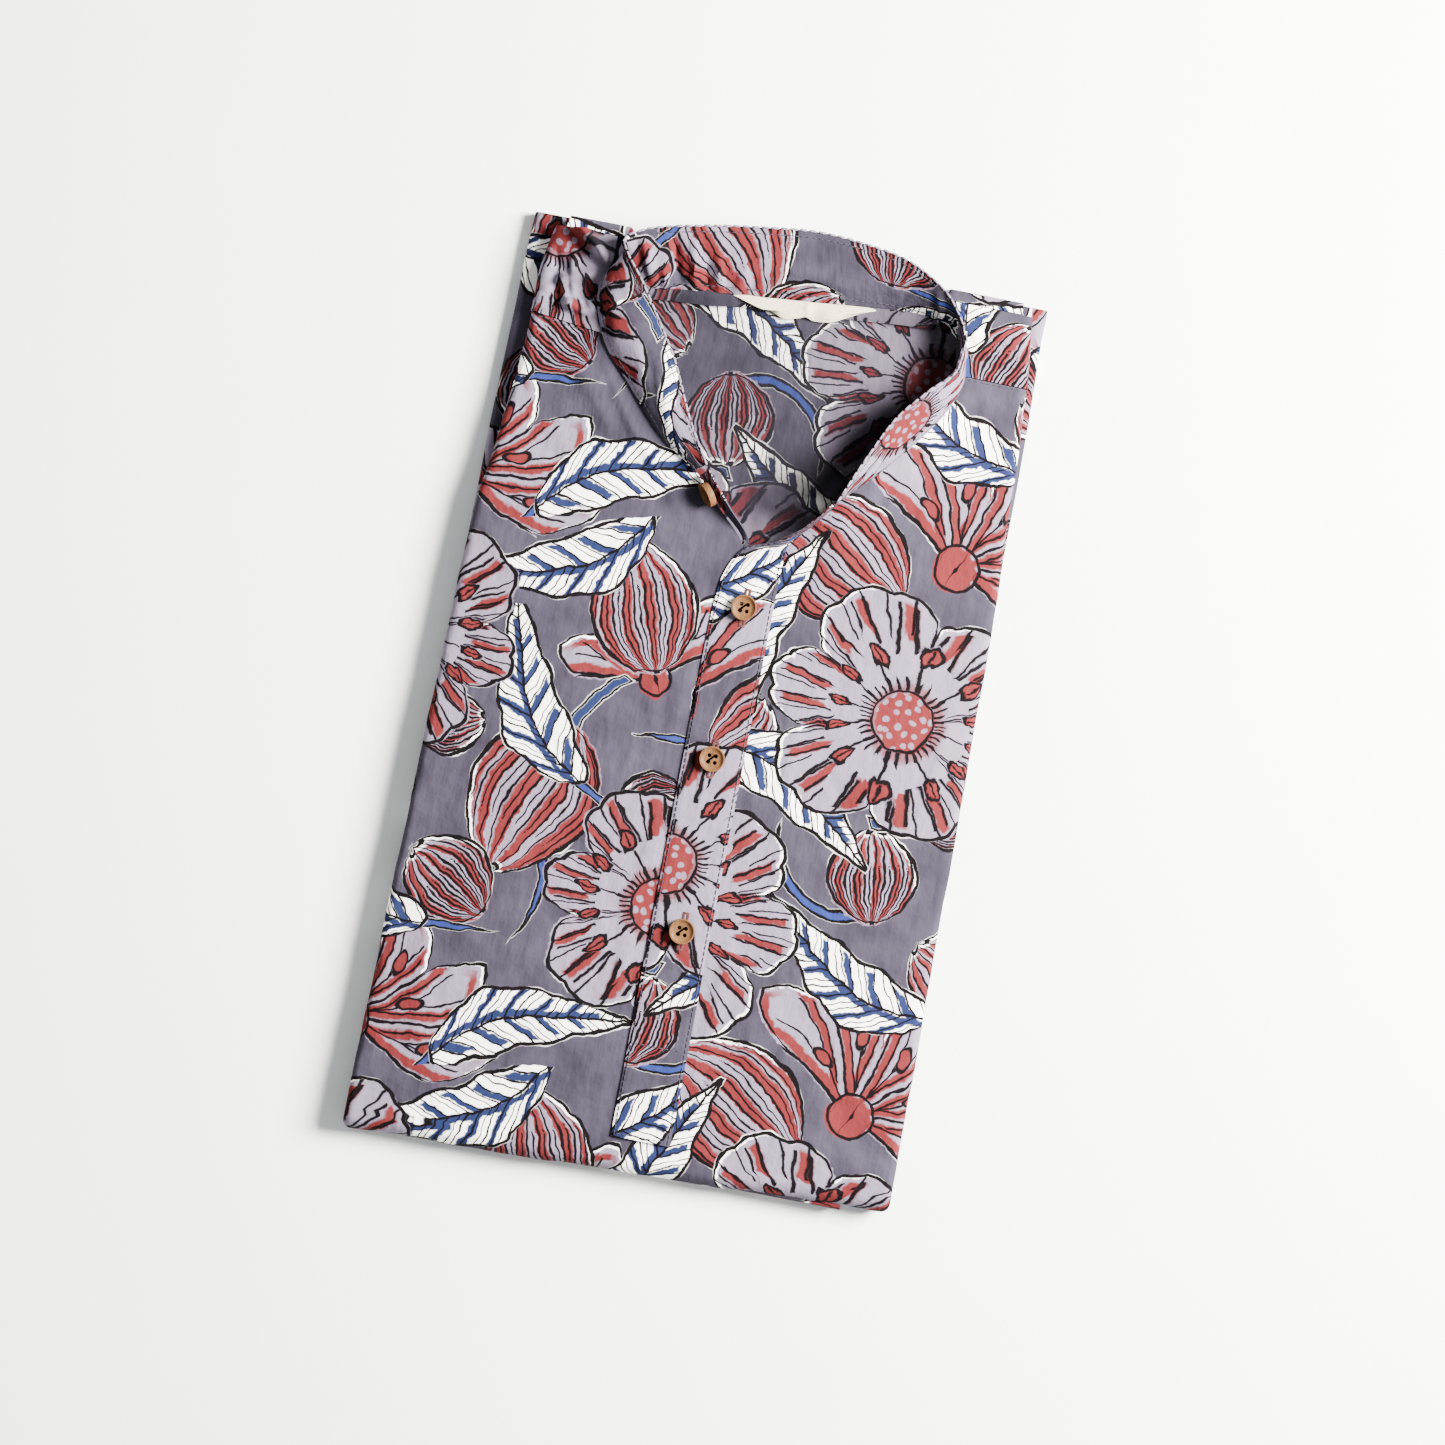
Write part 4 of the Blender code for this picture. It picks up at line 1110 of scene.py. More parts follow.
@dataclass(frozen=True)
class Yoke:
    """A shoulder yoke: from the front's seam to the shoulder seam, and round the side fold."""

    bundle: Bundle
    right: bool
    creases: Sequence[Crease]
    # Where shade is painted into the yoke's hollows
    hollows: Sequence[Crease]
    patch: tuple[float, float, float]
    rows: int = 56
    flat_columns: int = 48
    turn_columns: int = 9
    back_columns: int = 4

    def build(self, tailor: Tailor) -> bpy.types.Object:
        """Makes the yoke and sets it in place of its imported node."""
        b = self.bundle
        sign = 1 if self.right else -1
        columns = self.flat_columns + 1 + self.turn_columns + self.back_columns
        flat = np.linspace(0, 1, self.flat_columns + 1)
        turned = np.concatenate([np.linspace(0, 1, self.turn_columns + 1)[1:], np.ones(self.back_columns)])
        turn = np.concatenate([np.zeros(len(flat)), turned])
        running_back = np.linspace(0, 1, self.back_columns + 1)[1:]
        back = np.concatenate([np.zeros(columns - self.back_columns), running_back])
        across = np.concatenate([flat, np.ones(columns - len(flat))])
        folded = np.arange(columns) >= len(flat)
        places, cloth = [], []
        for share in np.linspace(0, 1, self.rows + 1):
            base = np.full(columns, sign * 100.0)
            for _ in range(5):
                start = b.front_seam(base) + HALF_SEAM
                y = start + (b.shoulder_y - HALF_SEAM - start) * share
                side, inner = b.side(Half.UPPER, self.right, y), b.neck(self.right, y)
                flat_x = inner + (side - sign * b.fold_radius - inner) * across
                base = np.where(folded, side, flat_x)
            inward, depth, arc = b.turn_in(turn, back, np.ones(columns))
            x = np.where(folded, side - sign * inward, flat_x)
            clear = smooth(np.abs(side - base) / 6) * smooth((y - start) / 7) + 0.35 * folded
            z = b.stack + b.top(base, y) + clear * lifts(self.creases, base, y) - depth
            places.append(np.stack([x, y, z], axis=1))
            across_cloth = np.where(folded, side - sign * b.fold_radius + sign * arc, flat_x)
            cloth.append(np.stack([across_cloth, y], axis=1))
        grid = Grid(np.array(places), np.array(cloth))
        name = "right" if self.right else "left"
        piece = tailor.sheet(f"{name}_shoulder_yoke", [grid], b.cloth, flip=self.right, patch=self.patch)
        # Painted shade in the yoke's hollows; the right yoke has none
        paint_hollow_shade(piece, tailor, 0.0, self.hollows, 99.0)
        stand_for(piece, f"yoke_{name}")
        return piece


@dataclass(frozen=True)
class BackBody:
    """The back panel: under the front, up to the neck seam, and over the fold to the shoulder seams."""

    bundle: Bundle
    inset: float = 4.6
    low: float = -190.0
    turn_radius: float = 1.6
    hidden_share: float = 0.62
    patch: tuple[float, float, float] = (132.0, 96.0, 180.0)
    creases: Sequence[Crease] = (
        Crease(-4, 172, -2, 96, 1.6, 0.35), Crease(-40, 176, -30, 150, 4.0, 0.4, 2.0),
        Crease(30, 180, 40, 140, 5.0, -0.5, 3.0), Crease(60, 176, 36, 120, 7.0, -0.7, -4.0),
        Crease(-22, 140, 14, 122, 5.0, 0.4, 3.0), Crease(-4, 112, 44, 118, 14.0, -1.4),
        Crease(8, 92, 12, 100, 9.0, -0.8), Crease(62, 168, 78, 184, 9.0, -0.9),
        Crease(-70, 178, -40, 183, 5.0, -0.9), Crease(48, 188, 70, 190, 4.0, -0.9),
    )
    # Painted shade, by place: the V's recess, under the band, along the neck seam and in creases, each height
    # how much is added
    hollows: Sequence[Crease] = (
        Crease(20, 92, 78, 158, 19.0, 0.7), Crease(-6, 98, 34, 104, 15.0, 1.2),
        Crease(58, 186, 84, 176, 9.0, 0.7), Crease(-72, 186, -20, 186, 3.6, 1.5),
        Crease(36, 192, 74, 196, 4.5, 1.6), Crease(-20, 185, 40, 188, 3.0, 0.8),
        Crease(-66, 158, -30, 118, 5.0, 0.7), Crease(6, 140, 9, 112, 3.0, 0.5),
        Crease(40, 120, 70, 150, 20.0, 0.5),
    )

    def build(self, tailor: Tailor) -> bpy.types.Object:
        """Makes the panel and sets it in place of its imported node."""
        b = self.bundle
        coarse = np.linspace(0, 1, 13)[:-1] * self.hidden_share
        shares = np.concatenate([coarse, np.linspace(self.hidden_share, 1, 80)])
        columns = 121
        x_share = np.linspace(0, 1, columns)
        places, cloth, keep = [], [], []
        neck = np.array(b.back_neck)

        def put(y: Array, up: float, out: float) -> None:
            left = b.side(Half.UPPER, False, y) + self.inset
            right = b.side(Half.UPPER, True, y) - self.inset
            x = left + (right - left) * x_share
            centre = b.stack - self.turn_radius + b.relief(x, y)
            shallow = smooth((y - 70) / 20) * smooth((200 - y) / 8) * smooth((88 - np.abs(x)) / 10)
            z = centre + self.turn_radius * up
            if up < 0 and not out:
                z = z + shallow * lifts(self.creases, x, y) + (2 * self.turn_radius - b.back_drop - 0.1)
            places.append(np.stack([x, y + self.turn_radius * out, z], axis=1))

        probe = np.linspace(-112, 112, columns)
        top = np.minimum(eased(neck[:, 0], neck[:, 1], probe), b.hem_y - self.turn_radius)
        shoulder = (probe < -78.5) | (probe > 72.5)
        for share in shares:
            put(self.low + (top - self.low) * share, -1.0, 0.0)
            cloth.append(np.stack([probe, self.low + (top - self.low) * share], axis=1))
        for angle in np.linspace(0, math.pi, 7)[1:]:
            put(top, -math.cos(angle), math.sin(angle))
            cloth.append(np.stack([probe, top + self.turn_radius * angle], axis=1))
        put(np.where(shoulder, b.shoulder_y + HALF_SEAM, top), 1.0, 0.0)
        cloth.append(np.stack([probe, top + 8.0], axis=1))
        rows = len(places)
        keep = np.ones((rows - 1, columns - 1), bool)
        keep[len(shares) - 1:, :] = (shoulder[1:] & shoulder[:-1])[None, :]
        grid = Grid(np.array(places), np.array(cloth), keep)
        piece = tailor.sheet("back_panel", [grid], b.cloth, patch=self.patch)
        # Painted shade on the back's inside below the top, deeper in its hollows
        paint_hollow_shade(piece, tailor, 1.45, self.hollows, b.stack - 0.9)
        stand_for(piece, "back_body")
        return piece


@dataclass(frozen=True)
class Ribbon:
    """A strip of cloth between a base edge and a free edge, through given stations.

    A station is the base's x, y and height over the top, the free edge's x, y and height, and the belly.
    """

    bundle: Bundle
    stations: Rows
    rows: int
    segments: int
    width: float
    wall: float
    creases: Sequence[Crease] = ()
    edge_drop: float = 0.0
    on_back: bool = False

    def height(self, x: Array, y: Array) -> Array:
        """Height of what the strip lies on, over the plain level of the top."""
        return self.bundle.relief(x, y) if self.on_back else self.bundle.top(x, y)

    def places(self) -> tuple[Array, Array]:
        """The strip's middle surface, and its columns' shares of the way across it."""
        stations = np.array(self.stations, float)
        read = eased(np.arange(len(stations)), stations, np.linspace(0, len(stations) - 1, self.rows + 1))
        base, free, belly = read[:, 0:3].copy(), read[:, 3:6].copy(), read[:, 6]
        for edge in (base, free):
            edge[:, 2] += self.bundle.stack + self.height(edge[:, 0], edge[:, 1])
        t = np.linspace(0, 1, self.segments + 1)
        rise = free - base
        up = np.tile(np.array([0.0, 0.0, 1.0]), (len(rise), 1))
        bow = -np.cross(np.cross(up, rise), rise)
        bow *= np.where(bow[:, 2:3] < 0, -1, 1) / np.maximum(np.linalg.norm(bow, axis=1, keepdims=True), 1e-9)
        lift = np.abs(belly)[:, None] * np.sin(math.pi * t)[None, :]
        places = base[:, None] + rise[:, None] * t[None, :, None] + bow[:, None] * lift[..., None]
        return places, t

    def build(self, name: str, tailor: Tailor, patch: Sequence[float],
              flip: bool = False) -> bpy.types.Object:
        """Makes the strip.

        Args:
            name: the piece's name.
            tailor: who sews it.
            patch: where on the printed cloth it is cut.
            flip: whether its faces have to be turned.

        Returns:
            The piece.
        """
        places, t = self.places()
        steps = np.linalg.norm(np.diff(places[:, self.segments // 2], axis=0), axis=1)
        along = np.concatenate([[0.0], np.cumsum(steps)])
        normal = self.normals(places)
        across = np.broadcast_to(t[None, :] * self.width, places.shape[:2])
        length = np.broadcast_to(along[:, None], places.shape[:2])
        places = places + normal * lifts(self.creases, length, across)[..., None]
        if self.edge_drop:
            near = np.minimum(across, self.width - across)
            places[..., 2] -= self.edge_drop * (1 - smooth(near / 2.2))
        return tailor.sheet(name, [Grid(places, np.stack([length, across], axis=-1))], self.wall, middle=True,
                            flip=flip, patch=patch)

    @staticmethod
    def normals(places: Array) -> Array:
        """Unit normals of a grid of places, turned to look up."""
        run, rise = np.gradient(places, axis=0), np.gradient(places, axis=1)
        normal = np.cross(run, rise)
        normal /= np.maximum(np.linalg.norm(normal, axis=-1, keepdims=True), 1e-9)
        return normal * np.where(normal[..., 2:3] < 0, -1, 1)

    def edge_path(self, share: float) -> tuple[Array, Array]:
        """A line along the strip at a share of its width, with normals, for stitches."""
        places, _ = self.places()
        normal = self.normals(places)
        column = int(round(share * self.segments))
        return places[:, column] + normal[:, column] * self.wall / 2, normal[:, column]


COLLAR_STATIONS: Rows = (
    (42.8, 107.6, 0.9, 39.8, 103.8, 11.0, 0.6), (57.9, 123.0, 0.9, 49.8, 126.8, 13.5, 1.8),
    (70.0, 138.0, 0.9, 59.5, 146.6, 14.5, 2.4), (80.7, 154.0, 0.9, 71.0, 161.0, 15.0, 2.0),
    (86.4, 170.0, 0.9, 82.0, 174.0, 15.5, 1.2), (83.6, 184.0, 0.9, 83.0, 188.0, 15.5, 0.6),
    (73.0, 194.6, 0.7, 75.5, 202.0, 15.0, -1.0), (60.0, 196.4, -0.1, 63.0, 212.0, 13.0, -2.2),
    (44.0, 195.6, -0.1, 45.0, 219.0, 11.5, -2.6), (12.0, 192.2, -0.1, 12.0, 222.4, 9.5, -2.4),
    (-16.0, 189.8, -0.1, -16.0, 219.6, 9.0, -2.0), (-40.0, 187.4, -0.1, -42.0, 215.4, 9.0, -2.2),
    (-62.0, 184.6, -0.1, -66.0, 209.2, 10.0, -1.6), (-73.0, 186.6, 0.5, -74.8, 203.0, 13.0, -0.6),
    (-80.0, 187.6, 1.1, -72.0, 196.6, 14.0, 1.6), (-82.4, 177.0, 1.1, -64.0, 186.0, 12.5, 3.2),
    (-76.0, 158.0, 1.1, -54.0, 171.0, 11.0, 4.0), (-61.0, 140.0, 1.1, -43.6, 155.0, 10.5, 4.0),
    (-41.0, 119.0, 1.1, -30.5, 128.0, 10.0, 2.6), (-24.0, 107.6, 1.1, -19.6, 110.6, 9.5, 1.0),
)
OVERLAP_STATIONS: Rows = (
    (-4.6, -194.0, 1.1, 22.4, -194.0, 1.1, 0.0), (-4.8, -120.0, 1.1, 22.2, -120.0, 1.1, 0.0),
    (-5.0, -40.0, 1.1, 22.0, -40.0, 1.1, 0.0), (-5.2, 30.0, 1.1, 22.0, 30.0, 1.1, 0.0),
    (-4.2, 58.0, 1.1, 22.0, 58.0, 1.1, 0.0), (4.2, 77.4, 1.2, 22.4, 79.4, 1.1, 0.0),
    (17.6, 82.6, 3.6, 24.6, 84.8, 1.1, 0.4), (27.6, 90.2, 8.0, 31.4, 92.4, 1.1, 0.8),
    (37.6, 101.6, 10.4, 40.9, 104.4, 1.1, 0.6),
)
UNDERLAP_STATIONS: Rows = (
    (0.6, -146.0, -0.6, 16.6, -146.0, -0.6, 0.0), (0.6, -76.0, -0.6, 16.6, -76.0, -0.6, 0.0),
    (0.6, -6.0, -0.6, 16.6, -6.0, -0.6, 0.0), (0.6, 56.0, -0.6, 16.6, 56.0, -0.6, 0.0),
    (2.8, 74.0, -0.7, 7.4, 75.0, -0.7, 0.0), (2.5, 81.0, -0.4, 4.2, 83.0, 1.4, 0.0),
    (-7.4, 91.4, 1.0, -5.2, 93.0, 8.0, 0.2), (-15.4, 99.4, 1.0, -12.6, 101.4, 10.4, 0.3),
    (-21.8, 105.8, 1.0, -18.2, 108.4, 10.8, 0.4),
)
LABEL_STATIONS: Rows = (
    (-24.0, 189.1, -0.7, -24.0, 188.9, -0.9, 0.0), (-17.0, 189.6, -0.3, -17.2, 186.9, 0.6, 0.0),
    (-10.0, 190.2, -0.3, -10.2, 184.9, 1.6, 0.1), (-8.4, 190.3, -0.3, -8.4, 184.6, 1.9, 0.1),
    (0.0, 191.1, -0.3, 0.2, 185.4, 1.6, 0.1), (8.0, 191.9, -0.3, 8.4, 187.4, 1.4, 0.1),
    (11.0, 192.1, -0.3, 11.4, 188.4, 1.8, 0.2), (15.0, 192.4, -0.3, 15.4, 187.4, 0.4, 0.1),
    (22.0, 192.9, -0.3, 22.4, 187.6, 1.2, 0.1), (29.0, 193.5, -0.4, 29.4, 189.8, 0.8, 0.1),
    (36.0, 194.1, -0.5, 36.3, 191.8, 0.2, 0.0), (43.0, 194.6, -0.8, 43.2, 194.2, -0.9, 0.0),
)
ALLOWANCE_STATIONS: Rows = (
    (-76.0, 188.0, -0.3, -75.0, 180.6, -1.9, 0.3), (-62.0, 187.2, -0.2, -61.0, 179.6, -0.9, 0.9),
    (-48.0, 188.6, -0.2, -48.6, 180.8, -1.9, 0.5), (-34.0, 190.0, -0.2, -33.4, 181.6, -0.7, 0.8),
    (-20.0, 191.2, -0.4, -20.4, 183.6, -1.9, 0.2), (10.0, 193.4, -0.6, 10.2, 186.0, -2.0, 0.1),
    (40.0, 197.0, -0.4, 40.4, 188.4, -1.9, 0.2), (54.0, 198.0, -0.2, 53.4, 189.6, -0.9, 0.8),
    (70.0, 198.0, -0.2, 69.6, 190.4, -1.8, 0.4),
)


@dataclass(frozen=True)
class Neck:
    """Collar band, both laps of the placket and the label."""

    bundle: Bundle
    band_height: float = 32.0
    band_creases: Sequence[Crease] = (
        Crease(214, 0, 218, 22, 1.5, 1.9), Crease(220, 0, 222, 16, 1.2, -1.8),
        Crease(226, 0, 229, 26, 1.4, 2.1), Crease(233, 1, 238, 30, 1.6, -2.2),
        Crease(207, 0, 204, 14, 1.7, 1.4), Crease(246, 3, 252, 30, 2.2, 2.4),
        Crease(240, 0, 242, 14, 1.3, 1.8), Crease(201, 0, 199, 10, 1.5, -1.0),
        Crease(193, 0, 190, 12, 1.8, 0.9), Crease(257, 8, 262, 30, 2.0, -1.6),
        Crease(150, 6, 192, 14, 3.0, 0.8, 2.0), Crease(160, 22, 176, 2, 2.2, -0.6),
        Crease(262, 10, 300, 6, 3.0, 1.0, 3.0), Crease(300, 20, 330, 10, 3.0, -1.0, 2.0),
        Crease(282, 2, 290, 26, 2.4, 0.9), Crease(40, 8, 74, 20, 3.0, 0.8, 2.0),
        Crease(84, 28, 96, 2, 2.2, 1.2), Crease(100, 0, 106, 26, 2.2, -1.1),
        Crease(110, 4, 118, 30, 2.4, 1.0), Crease(126, 28, 132, 6, 2.4, -0.8),
        Crease(20, 4, 34, 26, 2.6, -0.7),
    )

    def band(self) -> Ribbon:
        """The collar band's strip."""
        return Ribbon(self.bundle, COLLAR_STATIONS, rows=330, segments=22, width=self.band_height, wall=1.1,
                      creases=self.band_creases)

    def overlap(self) -> Ribbon:
        """The strip of the placket's upper lap."""
        return Ribbon(self.bundle, OVERLAP_STATIONS, rows=220, segments=22, width=27.0, wall=0.7,
                      edge_drop=0.55)

    def underlap(self) -> Ribbon:
        """The strip of the placket's under lap."""
        return Ribbon(self.bundle, UNDERLAP_STATIONS, rows=160, segments=10, width=16.0, wall=0.6)

    def allowance(self) -> Ribbon:
        """The strip of the seam allowance that shows under the back of the band."""
        return Ribbon(self.bundle, ALLOWANCE_STATIONS, rows=150, segments=8, width=8.0, wall=0.4,
                      on_back=True)

    def label(self) -> Ribbon:
        """The label's strip."""
        return Ribbon(self.bundle, LABEL_STATIONS, rows=90, segments=8, width=9.0, wall=0.3, on_back=True)

    def build(self, tailor: Tailor, tape: bpy.types.Material) -> None:
        """Makes the strips, and sets the band, laps and label in place of their imported nodes."""
        band = self.band().build("collar_band_cloth", tailor, (20.0, 150.0, 12.0))
        stand_for(band, "collar_band")
        over = self.overlap().build("placket_upper_lap", tailor, (150.0, 160.0, 90.0), flip=True)
        stand_for(over, "placket_overlap")
        under = self.underlap().build("placket_under_lap", tailor, (40.0, 30.0, 90.0), flip=True)
        stand_for(under, "placket_underlap")
        allowance = self.allowance().build("neck_seam_allowance", tailor, (30.0, 60.0, 180.0))
        # Painted shade: the seam allowance under the back of the band is darkened where the band shades it
        paint_shade(allowance.data, 1.9)
        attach(allowance, ROOT)
        strip = self.label()
        top, share = strip.places()
        away = share[::-1][None, :]
        lower = top[:, ::-1] - np.array([0.0, 0.0, 2.0]) * np.sin(0.5 * math.pi * away)[..., None]
        peep = smooth((top[:, ::-1, 0] + 6) / 9) * smooth((42 - top[:, ::-1, 0]) / 26)
        lower[..., 1] -= 3.4 * peep * away**2
        places = np.concatenate([top, lower], axis=1)
        length = np.linspace(0, 67, len(places))[:, None] + np.zeros(places.shape[1])[None, :]
        across = np.zeros(len(places))[:, None] + np.linspace(0, 10, places.shape[1])[None, :]
        fold = Grid(places, np.stack([length, across], axis=-1))
        label = tailor.sheet("folded_neck_label", [fold], strip.wall, middle=True)
        label.data.materials.clear()
        label.data.materials.append(tape)
        stand_for(label, "neck_label")


@dataclass(frozen=True)
class FoldedLayers:
    """Sleeves, sides and skirt folded away inside: leaves of cloth that show at the neck end.

    A layer is its lowest and highest level, whether it lies far in at its sides, and its inset at the neck.
    A leaf's profile is pairs of a share of its thickness and how far its edge is tucked in there.
    """

    bundle: Bundle
    waist_inset: float = 22.0
    layers: Rows = (
        (1.0, 2.6, 0, 1.6), (2.6, 4.0, 0, 0.8), (4.0, 5.4, 0, 2.6), (5.4, 6.8, 1, 4.2), (6.8, 8.2, 1, 3.0),
        (8.2, 9.2, 0, 1.0), (9.2, 10.4, 0, 2.2),
    )
    sides_steps: int = 60
    end_steps: int = 60
    profile: Rows = (
        (0.0, 1.1), (0.08, 0.45), (0.3, 0.08), (0.5, 0.0), (0.7, 0.08), (0.92, 0.45), (1.0, 1.1),
    )

    def outline(self, height: float, waist: bool, end_inset: float, number: int, tuck: float) -> Array:
        """Plan outline of a leaf at a height, as rows of x, y, z."""
        b = self.bundle
        half = Half.UPPER if height > b.nose else Half.LOWER
        depth = b.stack - height if half is Half.UPPER else height
        lobe = b.fold_radius - 2.4
        inset = b.fold_radius - math.sqrt(max(lobe**2 - (depth - b.fold_radius) ** 2, 0.0))
        inset = (self.waist_inset if waist else inset) + tuck
        reach = math.sqrt(max((b.nose - 1.9) ** 2 - (height - b.nose) ** 2, 0.0)) - tuck

        def span(y: Array) -> tuple[Array, Array]:
            past = smooth((y - float(b.bottom(0.0)) - b.nose + reach) / (1.8 * b.fold_ease))
            narrow = inset + (self.waist_inset - inset) * (1 - past)
            return b.side(half, False, y) + narrow, b.side(half, True, y) - narrow

        far = b.hem_y - end_inset - tuck
        low = float(b.bottom(0.0)) + b.nose - reach
        up = low + (far - low) * np.arange(self.sides_steps) / self.sides_steps
        down = far + (low - far) * np.arange(self.sides_steps) / self.sides_steps
        share = np.arange(self.end_steps) / self.end_steps
        left, right = span(np.array([far]))
        top_x = right + (left - right) * share
        short, long = ripple(top_x, 70.0 + 9 * number, 1.7 * number), ripple(top_x, 150.0, number)
        top_y = far - 0.5 - 0.5 * short - 0.8 * long
        left, right = span(np.array([low]))
        low_x = left + (right - left) * share
        x = np.concatenate([span(up)[1], top_x, span(down)[0], low_x])
        y = np.concatenate([up, top_y, down, np.full(self.end_steps, low)])
        return np.stack([x, y, np.full(len(x), height)], axis=1)

    def build(self, tailor: Tailor) -> bpy.types.Object:
        """Makes the stack of leaves as one closed skin."""
        rings, cloth = [], []
        for number, (bottom, top, waist, end_inset) in enumerate(self.layers):
            for share, tuck in self.profile:
                height = bottom + (top - bottom) * min(max(share, 0.01), 0.999)
                rings.append(self.outline(height, bool(waist), end_inset, number, tuck))
                cloth.append(rings[-1][:, :2] + np.array([37.0 * number, 53.0 * number + 1.2 * height]))
        count = len(rings[0])
        mesh = bpy.data.meshes.new("folded_layers_cloth")
        vertices = tailor.world(np.concatenate(rings))
        faces: list[tuple[int, ...]] = []
        for ring in range(len(rings) - 1):
            k = np.arange(count)
            n = (k + 1) % count
            faces += list(zip((ring * count + k).tolist(), (ring * count + n).tolist(),
                              ((ring + 1) * count + n).tolist(), ((ring + 1) * count + k).tolist()))
        faces.append(tuple(range(count - 1, -1, -1)))
        faces.append(tuple(range((len(rings) - 1) * count, len(rings) * count)))
        mesh.from_pydata(vertices.tolist(), [], faces)
        map_cloth(mesh, np.concatenate(cloth))
        # Painted shade: the stacked leaves are darkened a little toward near black
        paint_shade(mesh, 0.5)
        piece = add_piece("folded_layers_cloth", mesh)
        bpy.ops.object.shade_smooth_by_angle(angle=SHARP_EDGE)
        mesh.materials.append(tailor.print_finish)
        stand_for(piece, "folded_layers")
        return piece


@dataclass(frozen=True)
class Buttons:
    """Turned wooden buttons with a raised rim and four holes, and their worked buttonholes.

    A sewn button is its x and y, and the loose one its x, y, height, the way that it faces and its lean.
    """

    bundle: Bundle
    radius: float = 5.75
    thickness: float = 3.0
    hole_radius: float = 0.9
    hole_pitch: float = 3.0
    thread_radius: float = 0.17
    thread_pitch: float = 0.25
    seat: float = 2.06
    hole_level: float = 1.55
    sewn: Rows = ((8.9, 50.9), (7.8, -18.7), (9.3, -97.4))
    loose: tuple[float, float, float, float, float] = (-16.9, 97.6, 7.0, 217.0, 14.0)

    def level(self, x: float, y: float) -> float:
        """Height of the front's face at a place, without the placket."""
        return self.bundle.stack + float(self.bundle.relief(np.array(x), np.array(y)))

    def turned(self, name: str, wood: bpy.types.Material) -> bpy.types.Object:
        """Turns one button at the origin, its face up.

        Args:
            name: the piece's name.
            wood: its finish.

        Returns:
            The button, closed and smooth.
        """
        radius, half = self.radius * MM, self.thickness * MM / 2
        bpy.ops.object.select_all(action="DESELECT")
        bpy.ops.mesh.primitive_cylinder_add(vertices=48, radius=radius, depth=2 * half)
        button = bpy.context.object
        button.name = name
        bpy.ops.object.mode_set(mode="EDIT")
        bpy.ops.mesh.select_mode(type="FACE")
        for inward, down in ((0.10, 0.0), (0.16, -0.62), (0.20, -0.10)):
            work = bmesh.from_edit_mesh(button.data)
            work.normal_update()
            tops = [f for f in work.faces if f.normal.z > 0.99]
            centre = min(tops, key=lambda f: f.calc_center_median().xy.length - f.calc_area())
            for face in work.faces:
                face.select_set(face is centre)
            bmesh.update_edit_mesh(button.data)
            bpy.ops.mesh.inset(thickness=inward * radius)
            bpy.ops.transform.translate(value=(0, 0, down * half))
        bpy.ops.object.mode_set(mode="OBJECT")
        for x in (-0.5, 0.5):
            for y in (-0.5, 0.5):
                place = (x * self.hole_pitch * MM, y * self.hole_pitch * MM, 0.0)
                bpy.ops.mesh.primitive_cylinder_add(vertices=20, radius=self.hole_radius * MM, depth=4 * half,
                                                    location=place)
                drill = bpy.context.object
                apply_modifier(button, "BOOLEAN", operation="DIFFERENCE", object=drill)
                bpy.data.objects.remove(drill, do_unlink=True)
        apply_modifier(button, "BEVEL", width=0.22 * MM, segments=2, limit_method="ANGLE",
                       angle_limit=math.radians(50))
        choose(button)
        bpy.ops.object.shade_smooth_by_angle(angle=math.radians(40))
        button.data.materials.clear()
        button.data.materials.append(wood)
        return button

    def build(self, tailor: Tailor, wood: bpy.types.Material, thread: bpy.types.Material) -> None:
        """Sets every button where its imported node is, with a worked buttonhole under each sewn one."""
        spots = []
        for x, y in self.sewn:
            z = self.level(x, y) + self.seat + self.thickness / 2
            spots.append(Matrix.Translation(tailor.world(np.array([x, y, z]))))
        x, y, z, facing, lean = self.loose
        tilt = Matrix.Rotation(math.radians(90 - lean), 4, "Y")
        turn = Matrix.Rotation(math.radians(facing), 4, "Z") @ tilt
        spots.append(Matrix.Translation(tailor.world(np.array([x, y, self.bundle.stack + z]))) @ turn)
        for number, spot in enumerate(spots, start=1):
            button = self.turned(f"wooden_button_{number}", wood)
            button.data.transform(spot)
            stand_for(button, f"button_{number}")
        for number, (x, y) in enumerate(self.sewn, start=1):
            z = self.level(x, y) + self.hole_level
            bar = self.buttonhole(f"buttonhole_{number}", thread)
            bar.data.transform(Matrix.Translation(tailor.world(np.array([x + 0.4, y, z]))))
            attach(bar, ROOT)

    def buttonhole(self, name: str, thread: bpy.types.Material) -> bpy.types.Object:
        """A worked buttonhole: two rows of close stitches, and a bar at each end, past the button."""
        rows = ((1.3, 63, -0.95, -7.75), (1.3, 63, 0.95, -7.75), (3.0, 4, 0.0, -8.7), (3.0, 4, 0.0, 7.9))
        parts = []
        for length, count, x, y in rows:
            bar = thread_bar(name, self.thread_radius, length)
            bar.data.transform(Matrix.Translation((x * MM, y * MM, 0.0)))
            apply_modifier(bar, "ARRAY", count=count, use_relative_offset=False, use_constant_offset=True,
                           constant_offset_displace=(0.0, self.thread_pitch * MM, 0.0))
            parts.append(bar)
        return joined(name, parts, thread)


def read_path(at: float, lengths: Array, rows: Array) -> Array:
    """The row of a table at a length along its path."""
    return np.array([np.interp(at, lengths, column) for column in rows.T])


